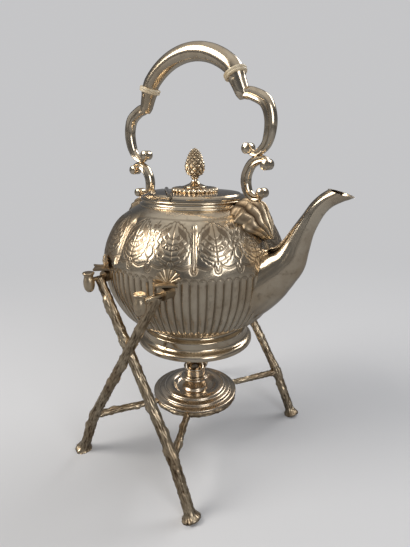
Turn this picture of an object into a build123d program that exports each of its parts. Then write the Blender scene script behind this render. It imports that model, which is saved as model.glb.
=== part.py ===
from build123d import *
import os
from math import asin, atan2, cos, degrees, radians, sin, sqrt

# Spirit kettle on a rustic crossed-branch stand, with its burner. Millimetres.
# Origin on the table under the kettle's axis, +Z up, +X towards the spout.
# Front is the spout side (+X), rear is -X, right is -Y and left is +Y.

# ---------------------------------------------------------------- driving sizes
# kettle body
pin_z = 198.0                # height of the hanging pins over the table
belly_over_pins = 7.0
bowl_lower_height = 66.0     # from the bowl's bottom to its widest girth
bowl_upper_height = 55.0     # from there to its mouth
belly_r = 89.5
bowl_bottom_r = 50.0
bowl_mouth_r = 52.0
bowl_wall = 1.5
foot_flange_r = 60.0
foot_flange_height = 6.5
foot_height = 21.0
foot_band_r = 54.0
foot_band_drop = 3.0         # the band's top below the bowl's bottom

# collar, lid and hinge
collar_wall = 5.1
collar_overhang = 0.3        # past the bowl's mouth
collar_height = 6.0
collar_skirt = 4.0
lid_inset = 1.8              # lid edge inside the collar's
lid_edge = 1.4
lid_rise = 5.0               # from the lid's seat to its middle
lid_skin = 1.5
lid_gap = 0.3
bezel_clearance = 0.7
bezel_wall = 2.0
bezel_depth = 4.5
hinge_offset = 26.0          # hinge line to the kettle's axis
hinge_bearing = 45.0         # degrees from the rear towards the right
hinge_end_inset = 6.3        # hinge ends inside the lid's edge
knuckle_r = 2.2
hinge_pin_r = 0.9
lid_knuckle_half_length = 22.0
rosette_gap = 0.8
rosette_height = 4.0

# finial
dome_r = 8.0
dome_height = 10.0
cone_r = 9.7
cone_height = 26.0
finial_stud_r = 2.0
finial_nut_r = 5.0
finial_nut_height = 3.0

# pins
pin_x = 38.0                 # in front of and behind the kettle's axis
pin_r = 2.0
pin_running_clearance = 0.05
pin_tip_gap = 0.6
rear_knob_reach = 10.0       # past the middle of the leg eyes
front_knob_reach = 21.0
knob_r = 5.3
knob_height = 18.5

# lugs
lug_leaf_half = 9.5
lug_leaf_thickness = 2.0
lug_leaf_lift = 0.6
lug_web = 7.0
lug_root_depth = 14.0        # how far the lug starts inside the body's girth
lug_gap = 0.5
shell_r = 12.0
shell_root_depth = 6.0
shell_thickness = 1.6

# handle
handle_lean = 3.4            # degrees, towards the rear
handle_rise = 133.2          # top of the grip's middle line over the bowl's mouth
handle_depth = 9.0
scroll_width = 10.0
lower_scroll_width = 8.5
curl_r = 5.2
grip_r = 8.0
grip_half_span = 46.0
grip_arch_rise = 17.7
grip_end_r = 14.0
grip_end_turn = 25.0
insulator_r = 10.3
insulator_thickness = 4.5
insulator_edge = 0.9
spigot_r = 4.6
spigot_depth = 7.0
rivet_r = 1.1
socket_r = 7.6
socket_length = 16.5
bracket_half_angle = 20.0
bracket_length = 24.7
# Middle lines of the scrolls: distance outside the collar, height over the bowl's mouth.
upper_scroll = ((27.2, 82.7), (32.0, 68.0), (28.2, 51.5), (19.7, 43.4), (10.2, 45.2))
lower_scroll = (
    (26.7, 36.5), (20.7, 37.7), (13.2, 34.5), (8.1, 26.5), (6.9, 18.8), (8.9, 10.5), (14.7, 6.0), (21.7, 7.5)
)
upper_curl = (9.7, 47.0)
middle_curl = (28.2, 33.8)
lower_curl = (23.2, 9.5)

# spout
spout_wall = 1.3
strainer_hole_r = 2.5
strainer_pitch = 9.0
strainer_drop = 14.0         # below the bowl's widest girth
# Sections from root to lip: distance outside and height over the belly, half depth, half width.
spout_sections = (
    (-39.5, -33, 27, 31), (-18.5, -15, 26, 29), (-4.5, -2.5, 23.5, 24), (5.8, 6.5, 19.5, 19.5),
    (13.7, 15, 16.2, 15.5), (19.8, 27.5, 12.2, 11.8), (25, 40, 9.4, 9.4), (30.5, 50.6, 7.8, 7.8),
    (37, 61.3, 7.1, 7.1), (45.5, 69.2, 6.7, 6.7), (61, 77.2, 6.7, 6.7)
)
spout_mouth = ((44.8, 76.2), (64.6, 71.0))    # back and lip of the open end, measured the same way

# stand
leg_clearance = 2.5          # middle of the leg eyes outside the belly
eye_length = 8.0
eye_r = 5.5
leg_top_r = 4.0
leg_knee_r = 4.7
leg_foot_r = 4.9
leg_stagger = 1.5            # the rear-footed leg passes this much further out, its pair as much in
knee_x = 52.0
knee_spread = 4.0            # further out than the eyes
knee_z = 51.0
knee_r = 5.6
foot_x = 74.0
foot_spread = 5.5            # further out than the eyes
foot_bell_r = 9.2
foot_bell_height = 9.0
stretcher_r = 3.0
ring_r = 42.0
ring_bar_r = 3.0
ring_drop = 1.0              # ring below the knees

# burner
burner_clearance = 0.3
burner_overhang = 3.5        # flange past the ring's middle line
burner_flange_thickness = 2.6
font_gap = 1.5
font_depth = 13.0
font_wall = 1.0
neck_r = 12.3
neck_wall = 2.8
neck_height = 15.5
neck_sink = 1.8              # cover's middle over the flange's top
neck_collar_reach = 2.7
cup_r = 12.2
cup_wall = 1.2
cup_height = 10.0
cup_spigot_depth = 9.0
wick_tube_r = 4.2
wick_tube_wall = 0.8

# ---------------------------------------------------------------- sizes that follow
belly_z = pin_z + belly_over_pins
bowl_bottom_z = belly_z - bowl_lower_height
bowl_top_z = belly_z + bowl_upper_height
kettle_foot_z = bowl_bottom_z - foot_height
foot_band_top_z = bowl_bottom_z - foot_band_drop
collar_bore_r = bowl_mouth_r + collar_overhang - collar_wall
collar_r = bowl_mouth_r + collar_overhang
collar_top_z = bowl_top_z + collar_height
lid_r = collar_r - lid_inset
lid_z = collar_top_z + lid_gap
lid_top_z = lid_z + lid_rise
bezel_r = collar_bore_r - bezel_clearance
hinge_z = lid_top_z - knuckle_r / 2
hinge_half_length = sqrt(lid_r**2 - hinge_offset**2) - hinge_end_inset
rosette_r = hinge_offset - knuckle_r - rosette_gap
finial_z = lid_top_z + rosette_height
cone_z = finial_z + dome_height

eye_y = belly_r + leg_clearance
knee_y = eye_y + knee_spread
foot_y = eye_y + foot_spread
ring_z = knee_z - ring_drop

grip_top_z = bowl_top_z + handle_rise
grip_shoulder_z = grip_top_z - grip_arch_rise
grip_arc_r = (grip_half_span**2 + grip_arch_rise**2) / (2 * grip_arch_rise)
grip_arc_turn = degrees(asin(grip_half_span / grip_arc_r))
grip_end_heading = grip_arc_turn + grip_end_turn
grip_end_chord = 2 * grip_end_r * sin(radians(grip_end_turn / 2))
grip_end_x = grip_half_span + grip_end_chord * cos(radians(grip_arc_turn + grip_end_turn / 2))
grip_end_z = grip_shoulder_z - grip_end_chord * sin(radians(grip_arc_turn + grip_end_turn / 2))

burner_flange_r = ring_r + burner_overhang
font_r = ring_r - ring_bar_r - font_gap
flange_z = ring_z + ring_bar_r + burner_clearance
flange_top_z = flange_z + burner_flange_thickness
neck_bore_r = neck_r - neck_wall
neck_z = flange_top_z + neck_sink
neck_top_z = neck_z + neck_height
cup_z = neck_top_z + burner_clearance
wick_r = wick_tube_r - wick_tube_wall

SIDES = {"right": -1, "left": 1}
WAYS = {"front": 1, "rear": -1}
BOTTOM = (Align.CENTER, Align.CENTER, Align.MIN)


# ---------------------------------------------------------------- helpers
def limb(start, end, start_r, end_r):
    """A tapered round bar from one point to another."""
    run = Vector(*end) - Vector(*start)
    return Plane(origin=start, z_dir=run) * Cone(start_r, end_r, run.length, align=BOTTOM)


def rod(start, end, radius):
    """A plain round bar from one point to another."""
    run = Vector(*end) - Vector(*start)
    return Plane(origin=start, z_dir=run) * Cylinder(radius, run.length, align=BOTTOM)


def turned(*outline):
    """A solid turned about Z from (radius, height) corners."""
    return revolve(Plane.XZ * make_face(Polyline(*outline, close=True)), Axis.Z)


def between(low, high, share):
    return low + (high - low) * share


def bowl_side():
    """The body's side, from its foot to its mouth, as (radius, height) points."""
    lower = ((0, 0), (0.31, 0.11), (0.61, 0.26), (0.92, 0.63))
    upper = ((1, 0), (0.92, 0.34), (0.64, 0.70), (0.30, 0.885), (0, 1))
    points = [
        (between(bowl_bottom_r, belly_r, out), between(bowl_bottom_z, belly_z, up)) for out, up in lower
    ]
    points += [(between(bowl_mouth_r, belly_r, out), between(belly_z, bowl_top_z, up)) for out, up in upper]
    return points


def bowl_solid():
    """The body as a filled solid, which whatever sits on it is trimmed by."""
    side = Spline(*bowl_side())
    outline = side + Polyline(
        (bowl_mouth_r, bowl_top_z), (0, bowl_top_z), (0, bowl_bottom_z), (bowl_bottom_r, bowl_bottom_z)
    )
    return revolve(Plane.XZ * make_face(outline), Axis.Z)


# ---------------------------------------------------------------- stand
def leg(side, top_x, stagger):
    """One branch: pin eye, straight run to the knee, steeper run to the bell foot."""
    way = -1 if top_x > 0 else 1
    eye = (top_x, side * (eye_y + stagger), pin_z)
    knee = (way * knee_x, side * (knee_y + stagger), knee_z)
    foot = (way * foot_x, side * (foot_y + stagger), 0)
    branch = limb(eye, knee, leg_top_r, leg_knee_r)
    branch += Pos(*knee) * Sphere(knee_r)
    branch += limb(knee, foot, leg_knee_r, leg_foot_r)
    bell = turned(
        (0, 0),
        (foot_bell_r, 0),
        (foot_bell_r, 0.2 * foot_bell_height),
        (between(leg_foot_r, foot_bell_r, 0.45), 0.5 * foot_bell_height),
        (leg_foot_r, foot_bell_height),
        (0, foot_bell_height),
    )
    branch += Pos(*foot) * bell
    half = eye_length / 2
    branch += rod((top_x, eye[1] - half, pin_z), (top_x, eye[1] + half, pin_z), eye_r)
    bore_r = pin_r + pin_running_clearance
    branch -= rod((top_x, eye[1] - eye_length, pin_z), (top_x, eye[1] + eye_length, pin_z), bore_r)
    floor = Pos(foot[0], foot[1], 0) * Box(60, 60, 60, align=(Align.CENTER, Align.CENTER, Align.MAX))
    return branch - floor


def leg_pair(side):
    """The two crossed branches of one side. The inner one is halved over the outer at the crossing."""
    outer = leg(side, pin_x, leg_stagger)
    inner = leg(side, -pin_x, -leg_stagger) - outer
    return outer, inner


def burner_ring():
    return Pos(0, 0, ring_z) * Torus(ring_r, ring_bar_r)


def stretcher(side, way, trimmers):
    """A twig from a knee to the burner ring."""
    knee = Vector(way * knee_x, side * (knee_y - way * leg_stagger), knee_z)
    reach = Vector(knee.X, knee.Y, 0).normalized() * ring_r
    bar = rod(tuple(knee), (reach.X, reach.Y, ring_z), stretcher_r)
    for trimmer in trimmers:
        bar -= trimmer
    return bar.solids().sort_by(SortBy.VOLUME)[-1]


# ---------------------------------------------------------------- hanging pins
def hanging_pin(side, way):
    """A rod through leg eye and lug, with an acorn knob standing on its outer end."""
    knob_y = eye_y + (front_knob_reach if way > 0 else rear_knob_reach)
    inner_y = sqrt(belly_r**2 - (pin_x - pin_r) ** 2) + pin_tip_gap
    shaft = rod((way * pin_x, side * inner_y, pin_z), (way * pin_x, side * knob_y, pin_z), pin_r)
    base_z = pin_z - 0.58 * knob_height
    knob = turned(
        (0, 0),
        (0.45 * knob_r, 0.05 * knob_height),
        (0.85 * knob_r, 0.3 * knob_height),
        (0.95 * knob_r, 0.62 * knob_height),
        (0.78 * knob_r, 0.84 * knob_height),
        (knob_r, 0.9 * knob_height),
        (knob_r, knob_height),
        (0, knob_height),
    )
    return shaft + Pos(way * pin_x, side * knob_y, base_z) * knob


# ---------------------------------------------------------------- kettle body
def strainer():
    """The group of holes that lets water from the bowl into the spout."""
    centre_z = belly_z - strainer_drop
    holes = Pos(belly_r, 0, centre_z) * Rot(0, 90, 0) * Cylinder(strainer_hole_r, 60)
    for step in range(6):
        turn = radians(60 * step)
        y = strainer_pitch * cos(turn)
        z = centre_z + strainer_pitch * sin(turn)
        holes += Pos(belly_r, y, z) * Rot(0, 90, 0) * Cylinder(strainer_hole_r, 60)
    return holes


def bowl(filled):
    mouth = filled.faces().sort_by(Axis.Z)[-1]
    return offset(filled, amount=-bowl_wall, openings=[mouth]) - strainer()


def kettle_foot():
    """The spreading foot: flange, polished band and the hollow neck under the bowl."""
    flange_top = kettle_foot_z + foot_flange_height
    return turned(
        (foot_flange_r - 2.0, kettle_foot_z),
        (foot_flange_r, kettle_foot_z + 1.0),
        (foot_flange_r, flange_top - 1.5),
        (foot_flange_r - 2.0, flange_top),
        (foot_band_r, flange_top + 3.0),
        (foot_band_r, foot_band_top_z - 1.5),
        (bowl_bottom_r + 0.6, foot_band_top_z),
        (bowl_bottom_r, bowl_bottom_z),
        (bowl_bottom_r - bowl_wall, bowl_bottom_z),
        (bowl_bottom_r - bowl_wall, foot_band_top_z - 1.5),
        (foot_band_r - bowl_wall, foot_band_top_z - 3.0),
        (foot_band_r - bowl_wall, flange_top + 2.0),
        (foot_flange_r - 4.0, flange_top - 2.0),
        (foot_flange_r - 3.5, kettle_foot_z),
    )


def collar(body):
    """The ring in the bowl's mouth that the lid sits on."""
    top = collar_top_z
    skirt_r = bowl_mouth_r - bowl_wall - 0.1
    ring = turned(
        (collar_bore_r, bowl_top_z - collar_skirt),
        (skirt_r, bowl_top_z - collar_skirt),
        (skirt_r, bowl_top_z),
        (collar_r, bowl_top_z),
        (collar_r, bowl_top_z + 1.4),
        (collar_r - 0.8, bowl_top_z + 2.2),
        (collar_r - 0.8, top - 1.6),
        (collar_r, top - 1.0),
        (collar_r - 0.6, top),
        (collar_bore_r, top),
    )
    return ring - body


# ---------------------------------------------------------------- lid and its hinge
hinge_cos = cos(radians(hinge_bearing))
hinge_sin = sin(radians(hinge_bearing))
hinge_plane = Plane(
    origin=(-hinge_offset * hinge_cos, -hinge_offset * hinge_sin, hinge_z),
    x_dir=(hinge_sin, -hinge_cos, 0),
    z_dir=(0, 0, 1),
)
# In this plane X runs along the hinge, Y from the hinge across the lid, and Z is up from the hinge pin.


def hinge_barrel(start, end, radius):
    return hinge_plane * Pos((start + end) / 2, 0, 0) * Rot(0, 90, 0) * Cylinder(radius, end - start)


def beyond_hinge(plate, near, way):
    """The part of a round plate that lies past a line beside the hinge."""
    width = 4 * lid_r
    return plate & hinge_plane * Pos(0, way * (near + width / 2), 0) * Box(width, width, width)


def hinge_knuckles(fixed):
    """Outer knuckles stand on the collar's plate, the middle one on the lid."""
    if fixed:
        near = lid_knuckle_half_length + lid_gap
        barrels = hinge_barrel(-hinge_half_length, -near, knuckle_r)
        return barrels + hinge_barrel(near, hinge_half_length, knuckle_r)
    return hinge_barrel(-lid_knuckle_half_length, lid_knuckle_half_length, knuckle_r)


def knuckle_room(fixed):
    """The space that one leaf leaves round the other leaf's knuckles."""
    room = knuckle_r + lid_gap
    if fixed:
        far = 2 * lid_r
        spaces = hinge_barrel(-far, -lid_knuckle_half_length, room)
        return spaces + hinge_barrel(lid_knuckle_half_length, far, room)
    return hinge_barrel(-lid_knuckle_half_length - lid_gap, lid_knuckle_half_length + lid_gap, room)


def hinge_bore():
    length = hinge_half_length + 2
    return hinge_barrel(-length, length, hinge_pin_r + pin_running_clearance)


def lid_outline(edge_r, seat_z, top_z):
    """Corners of the lid's upper side: upright edge, hollowed moulding, gentle rise to the middle."""
    rise = top_z - seat_z - lid_edge
    return (
        (edge_r, seat_z),
        (edge_r, seat_z + lid_edge),
        (edge_r - 2.4, seat_z + lid_edge + 0.12 * rise),
        (edge_r - 5.2, seat_z + lid_edge + 0.38 * rise),
        (edge_r - 6.6, seat_z + lid_edge + 0.72 * rise),
        (rosette_r, top_z),
        (0, top_z),
    )


def hinge_plate():
    """The fixed segment behind the hinge line, with its two knuckles."""
    shell = turned((0, collar_top_z), *lid_outline(lid_r + 0.8, collar_top_z, lid_top_z + 0.9))
    under = Cylinder(bezel_r, 2 * (hinge_z - knuckle_r - lid_gap))
    step = knuckle_r + 1.0
    lowered = hinge_plane * Pos(0, -step / 2, 0) * Box(4 * lid_r, step, 2 * lid_rise, align=BOTTOM)
    plate = beyond_hinge(shell, 0.4, -1) - beyond_hinge(under, 2 * knuckle_r, -1) - lowered
    return plate + hinge_knuckles(True) - knuckle_room(False) - hinge_bore()


def lid_plate():
    """The hollow lid with its bezel and middle knuckle."""
    shell = turned((0, lid_z), *lid_outline(lid_r, lid_z, lid_top_z))
    bezel = Pos(0, 0, lid_z - bezel_depth) * Cylinder(bezel_r, bezel_depth, align=BOTTOM)
    inner_r = bezel_r - bezel_wall
    under = turned(
        (0, lid_z - bezel_depth),
        (inner_r, lid_z - bezel_depth),
        (inner_r, lid_z + 0.4),
        (inner_r - 4.0, lid_z + 0.4 * lid_rise),
        (0.6 * inner_r, lid_top_z - lid_skin),
        (0, lid_top_z - lid_skin),
    )
    lid = beyond_hinge(shell, 0.4, 1) + beyond_hinge(bezel, 2 * knuckle_r, 1)
    lid -= beyond_hinge(under, 2 * knuckle_r + bezel_wall, 1)
    lid = lid + hinge_knuckles(False) - knuckle_room(True) - hinge_bore()
    return lid - finial_bore()


def finial_bore():
    return Pos(0, 0, lid_z - bezel_depth) * Cylinder(finial_stud_r, 2 * grip_top_z, align=BOTTOM)


def rosette():
    """The gadrooned disc under the finial."""
    z = lid_top_z
    disc = turned(
        (0, z),
        (rosette_r, z),
        (rosette_r, z + 0.5 * rosette_height),
        (0.8 * rosette_r, z + rosette_height),
        (0, z + rosette_height),
    )
    return disc - finial_bore()


def finial_dome():
    z = finial_z
    dome = turned(
        (0, z),
        (1.45 * dome_r, z),
        (1.15 * dome_r, z + 0.2 * dome_height),
        (0.6 * dome_r, z + 0.38 * dome_height),
        (0.36 * dome_r, z + 0.8 * dome_height),
        (0.5 * dome_r, z + dome_height),
        (0, z + dome_height),
    )
    return dome - finial_bore()


def pine_cone():
    z = cone_z
    side = Spline(
        (0.45 * cone_r, z),
        (0.9 * cone_r, z + 0.18 * cone_height),
        (cone_r, z + 0.4 * cone_height),
        (0.66 * cone_r, z + 0.76 * cone_height),
        (0.12 * cone_r, z + cone_height),
    )
    outline = side + Polyline(
        (0.12 * cone_r, z + cone_height), (0, z + cone_height), (0, z), (0.45 * cone_r, z)
    )
    cone = revolve(Plane.XZ * make_face(outline), Axis.Z)
    return cone - finial_stud()


def finial_stud():
    """The screwed stud that holds dome and cone down on the lid."""
    low = lid_top_z - lid_skin - finial_nut_height
    high = cone_z + 0.3 * cone_height
    return Pos(0, 0, low) * Cylinder(finial_stud_r, high - low, align=BOTTOM)


def finial_nut():
    nut = extrude(RegularPolygon(finial_nut_r, 6), finial_nut_height)
    return Pos(0, 0, lid_top_z - lid_skin - finial_nut_height) * nut - finial_stud()


# ---------------------------------------------------------------- handle
lean = Pos(0, 0, bowl_top_z) * Rot(0, -handle_lean, 0) * Pos(0, 0, -bowl_top_z)


def down_the_end(distance, way):
    """A point past the grip's end, along its heading."""
    x = grip_end_x + distance * cos(radians(grip_end_heading))
    z = grip_end_z - distance * sin(radians(grip_end_heading))
    return (way * x, 0, z)


def grip():
    """The tubular arch held in the hand, with a spigot at each end."""
    shoulder = (grip_half_span, grip_shoulder_z)
    arch = ThreePointArc((-grip_half_span, grip_shoulder_z), (0, grip_top_z), shoulder)
    right_end = JernArc(arch @ 1, arch % 1, grip_end_r, -grip_end_turn)
    left_end = JernArc(arch @ 0, -(arch % 0), grip_end_r, grip_end_turn)
    path = Plane.XZ * Wire([left_end.edge(), arch.edge(), right_end.edge()])
    start = path @ 0
    bar = sweep(Plane(origin=start, z_dir=path % 0) * Circle(grip_r), path=path)
    for way in (-1, 1):
        bar += rod(down_the_end(0, way), down_the_end(insulator_thickness + spigot_depth, way), spigot_r)
    return lean * bar - handle_rivets()


def insulator(way):
    """The pale heat-break ring between grip and socket."""
    ring = rod(down_the_end(0, way), down_the_end(insulator_thickness, way), insulator_r)
    ring = fillet(ring.edges(), insulator_edge)
    return lean * (ring - rod(down_the_end(-1, way), down_the_end(insulator_thickness + 1, way), spigot_r))


def handle_rivets():
    """The cross pins through sockets and spigots, front and rear."""
    rivets = []
    for way in (-1, 1):
        x, _, z = down_the_end(insulator_thickness + spigot_depth / 2, way)
        rivets.append(lean * rod((x, -socket_r - 0.4, z), (x, socket_r + 0.4, z), rivet_r))
    return Part() + rivets


def scroll(way, points, width):
    """A flat-sided bar that follows a curve in the handle's plane."""
    curve = Spline(*[(way * x, z) for x, z in points])
    return extrude(Plane.XZ * trace(curve, width), handle_depth / 2, both=True)


def curl(way, eye, radius):
    """The round end of a scroll, a little proud of its flat sides."""
    half = handle_depth / 2 + 0.6
    return rod((way * eye[0], -half, eye[1]), (way * eye[0], half, eye[1]), radius)


def beside_collar(points):
    """Points outside the collar and over the bowl's mouth as (x, z)."""
    return [(collar_r + out, bowl_top_z + up) for out, up in points]


def handle_leg(way, bracket, body):
    """One cast side of the handle: socket, upper scroll and lower scroll."""
    ring_end = down_the_end(insulator_thickness, way)
    elbow = down_the_end(insulator_thickness + socket_length, way)
    casting = limb(ring_end, elbow, socket_r, 0.8 * socket_r)
    casting += Pos(*elbow) * Sphere(0.8 * socket_r)
    elbow_x = abs(elbow[0])
    shoulder = (elbow_x + scroll_width, elbow[2] - 1.0)
    casting += scroll(way, [(elbow_x, elbow[2]), shoulder, *beside_collar(upper_scroll)], scroll_width)
    casting += scroll(way, beside_collar(lower_scroll), lower_scroll_width)
    upper_eye, middle_eye, lower_eye = beside_collar((upper_curl, middle_curl, lower_curl))
    casting += curl(way, upper_eye, curl_r)
    casting += curl(way, middle_eye, curl_r)
    casting += curl(way, lower_eye, 0.9 * curl_r)
    casting -= rod(ring_end, down_the_end(insulator_thickness + spigot_depth, way), spigot_r)
    return (lean * casting) - bracket - body - handle_rivets()


def handle_bracket(way, body):
    """The leaf-shaped plate on the shoulder that carries one foot of the handle."""
    foot_x = collar_r + lower_scroll[-2][0]
    top_z = bowl_top_z + 3.0 + way * foot_x * sin(radians(handle_lean))
    low_z = between(belly_z, bowl_top_z, 0.55)
    inner_r = collar_r + 0.1
    outer_r = collar_r + bracket_length
    outline = Polyline(
        (inner_r, bowl_top_z - 6),
        (inner_r, top_z - 2.5),
        (collar_r + 6, top_z),
        (collar_r + 18, top_z - 2.0),
        (outer_r, top_z - 14),
        (outer_r + 1, low_z),
        close=True,
    )
    start = -bracket_half_angle if way > 0 else 180 - bracket_half_angle
    plate = revolve(Plane.XZ.rotated((0, 0, start)) * make_face(outline), Axis.Z, 2 * bracket_half_angle)
    return plate - body


# ---------------------------------------------------------------- spout
def spout_tube(inset):
    """The spout filled from root to lip, or the water's way through it."""
    last = len(spout_sections) - 1
    sections = []
    for index, (out, up, half_depth, half_width) in enumerate(spout_sections):
        back = spout_sections[max(index - 1, 0)]
        ahead = spout_sections[min(index + 1, last)]
        heading = (ahead[0] - back[0], 0, ahead[1] - back[1])
        plane = Plane(origin=(belly_r + out, 0, belly_z + up), x_dir=(0, 1, 0), z_dir=heading)
        sections.append(plane * Ellipse(half_width - inset, half_depth - inset))
    return loft(sections)


def spout(body):
    """The tapering swan-neck spout, open at its beak."""
    back, lip = spout_mouth
    run = (lip[0] - back[0], 0, lip[1] - back[1])
    above = Plane(origin=(belly_r + back[0], 0, belly_z + back[1]), x_dir=run, z_dir=(-run[2], 0, run[0]))
    mouth = above * Box(90, 60, 40, align=BOTTOM)
    neck = spout_tube(0) - body - mouth
    return neck - spout_tube(spout_wall)


# ---------------------------------------------------------------- lugs
def leaf_outline(root, tip):
    """A broad leaf from its root on the body to its rounded tip."""
    belly = between(root, tip, 0.8)
    left = ThreePointArc((-lug_leaf_half, root), (-0.75 * lug_leaf_half, belly), (0.5 * lug_leaf_half, tip))
    right = ThreePointArc((0.5 * lug_leaf_half, tip), (1.1 * lug_leaf_half, belly), (lug_leaf_half, root))
    return make_face(left + right + Line((lug_leaf_half, root), (-lug_leaf_half, root)))


def lug(side, way, body):
    """A boss on the body that takes a hanging pin, under a flat leaf. The rear one is open below."""
    x = way * pin_x
    eye_middle = eye_y + way * leg_stagger
    inner_y = sqrt(belly_r**2 - pin_x**2) - lug_root_depth
    outer_y = eye_middle - eye_length / 2 - lug_gap
    leaf_z = pin_z + eye_r + lug_leaf_lift
    leaf = extrude(leaf_outline(inner_y, eye_middle + eye_length / 2), lug_leaf_thickness)
    web = Box(lug_web, outer_y - inner_y, leaf_z - pin_z, align=BOTTOM)
    boss = rod((x, inner_y, pin_z), (x, outer_y, pin_z), eye_r) - body
    boss += Pos(x, (inner_y + outer_y) / 2, pin_z) * web - body
    boss += Pos(x, 0, leaf_z) * leaf - body
    bore_r = pin_r + (pin_running_clearance if way > 0 else lid_gap)
    boss -= rod((x, inner_y - 1, pin_z), (x, outer_y + 1, pin_z), bore_r)
    if way < 0:
        slot = Box(2 * bore_r, 40, 2 * eye_r, align=(Align.CENTER, Align.CENTER, Align.MAX))
        boss -= Pos(x, outer_y, pin_z) * slot
    return boss if side > 0 else mirror(boss, Plane.XZ)


def shell(side, way, body, carrier):
    """The scallop shell above a lug, fanned upwards on the body."""
    bearing = atan2(pin_x, sqrt(belly_r**2 - pin_x**2))
    out = Vector(way * sin(bearing), side * cos(bearing), 0)
    foot_z = pin_z + eye_r + lug_leaf_lift + lug_leaf_thickness
    root = out * (belly_r - shell_root_depth)
    plane = Plane(origin=(root.X, root.Y, foot_z), x_dir=(-out.Y, out.X, 0), z_dir=tuple(out))
    fan = Circle(shell_r) & Pos(0, shell_r / 2) * Rectangle(2 * shell_r, shell_r)
    plate = extrude(plane * fan, shell_root_depth + shell_thickness)
    return plate - body - carrier


# ---------------------------------------------------------------- burner
def burner_font():
    """The thin spirit reservoir that hangs through the ring."""
    low = flange_z - font_depth
    outer = (
        (0, low),
        (0.62 * font_r, low),
        (0.88 * font_r, low + 0.4 * font_depth),
        (font_r, low + 0.8 * font_depth),
        (font_r, flange_z),
    )
    inner = (
        (font_r - font_wall, flange_z),
        (font_r - font_wall, low + 0.8 * font_depth),
        (0.88 * font_r - font_wall, low + 0.4 * font_depth + 0.6 * font_wall),
        (0.62 * font_r - 0.5 * font_wall, low + font_wall),
        (0, low + font_wall),
    )
    return turned(*outer, *inner)


def burner_cover():
    """The stepped plate over the font: flange, bead, raised rim and the sunk middle."""
    return turned(
        (neck_bore_r, flange_z),
        (burner_flange_r, flange_z),
        (burner_flange_r, flange_top_z),
        (0.86 * burner_flange_r, flange_top_z + 0.5),
        (0.85 * burner_flange_r, flange_top_z + 2.6),
        (0.73 * burner_flange_r, flange_top_z + 3.6),
        (0.71 * burner_flange_r, flange_top_z + 5.6),
        (0.60 * burner_flange_r, flange_top_z + 6.8),
        (0.50 * burner_flange_r, flange_top_z + 6.2),
        (0.44 * burner_flange_r, neck_z),
        (neck_bore_r, neck_z),
    )


def burner_neck():
    """The collar pipe that the wick cup drops into."""
    return turned(
        (neck_bore_r, neck_z),
        (neck_r + 1.5, neck_z),
        (neck_r, neck_z + 2.5),
        (neck_r - 0.8, neck_z + 0.5 * neck_height),
        (neck_r, neck_top_z - 5),
        (neck_r + neck_collar_reach, neck_top_z - 3.5),
        (neck_r + neck_collar_reach, neck_top_z - 1.5),
        (neck_r, neck_top_z),
        (neck_bore_r, neck_top_z),
    )


def wick_cup():
    """The lift-out cup with its spigot in the neck."""
    spigot = neck_bore_r - pin_running_clearance
    top = cup_z + cup_height
    return turned(
        (wick_tube_r, cup_z - cup_spigot_depth),
        (spigot, cup_z - cup_spigot_depth),
        (spigot, cup_z),
        (cup_r - 0.9, cup_z),
        (cup_r - 0.9, top - 2.5),
        (cup_r, top - 1.5),
        (cup_r, top),
        (cup_r - cup_wall, top),
        (cup_r - cup_wall - 0.9, top - 2.5),
        (cup_r - cup_wall - 0.9, cup_z + cup_wall),
        (wick_tube_r, cup_z + cup_wall),
    )


def flame_petals():
    """The ring of pointed leaves inside the cup that shields the wick."""
    outer_r = cup_r - cup_wall - 1.0
    low = cup_z + cup_wall
    height = cup_height
    wall = turned(
        (outer_r - 1.0, low),
        (outer_r, low),
        (outer_r, low + height),
        (outer_r - 1.0, low + height),
    )
    top = height + 1
    corners = ((-3.2, height), (0, 0.45 * height), (3.2, height), (3.2, top), (-3.2, top))
    notch = make_face(Polyline(*corners, close=True))
    for step in range(3):
        cutter = extrude(Plane.XZ * notch, outer_r + 5, both=True)
        wall -= Pos(0, 0, low) * Rot(0, 0, 30 + 60 * step) * cutter
    return wall


def wick_tube():
    low = cup_z - cup_spigot_depth
    high = cup_z + 0.7 * cup_height
    return turned((wick_r, low - 6), (wick_tube_r, low - 6), (wick_tube_r, high), (wick_r, high))


def wick():
    low = flange_z - font_depth + font_wall + burner_clearance
    return Pos(0, 0, low) * Cylinder(wick_r, cup_z + 0.85 * cup_height - low, align=BOTTOM)


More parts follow.
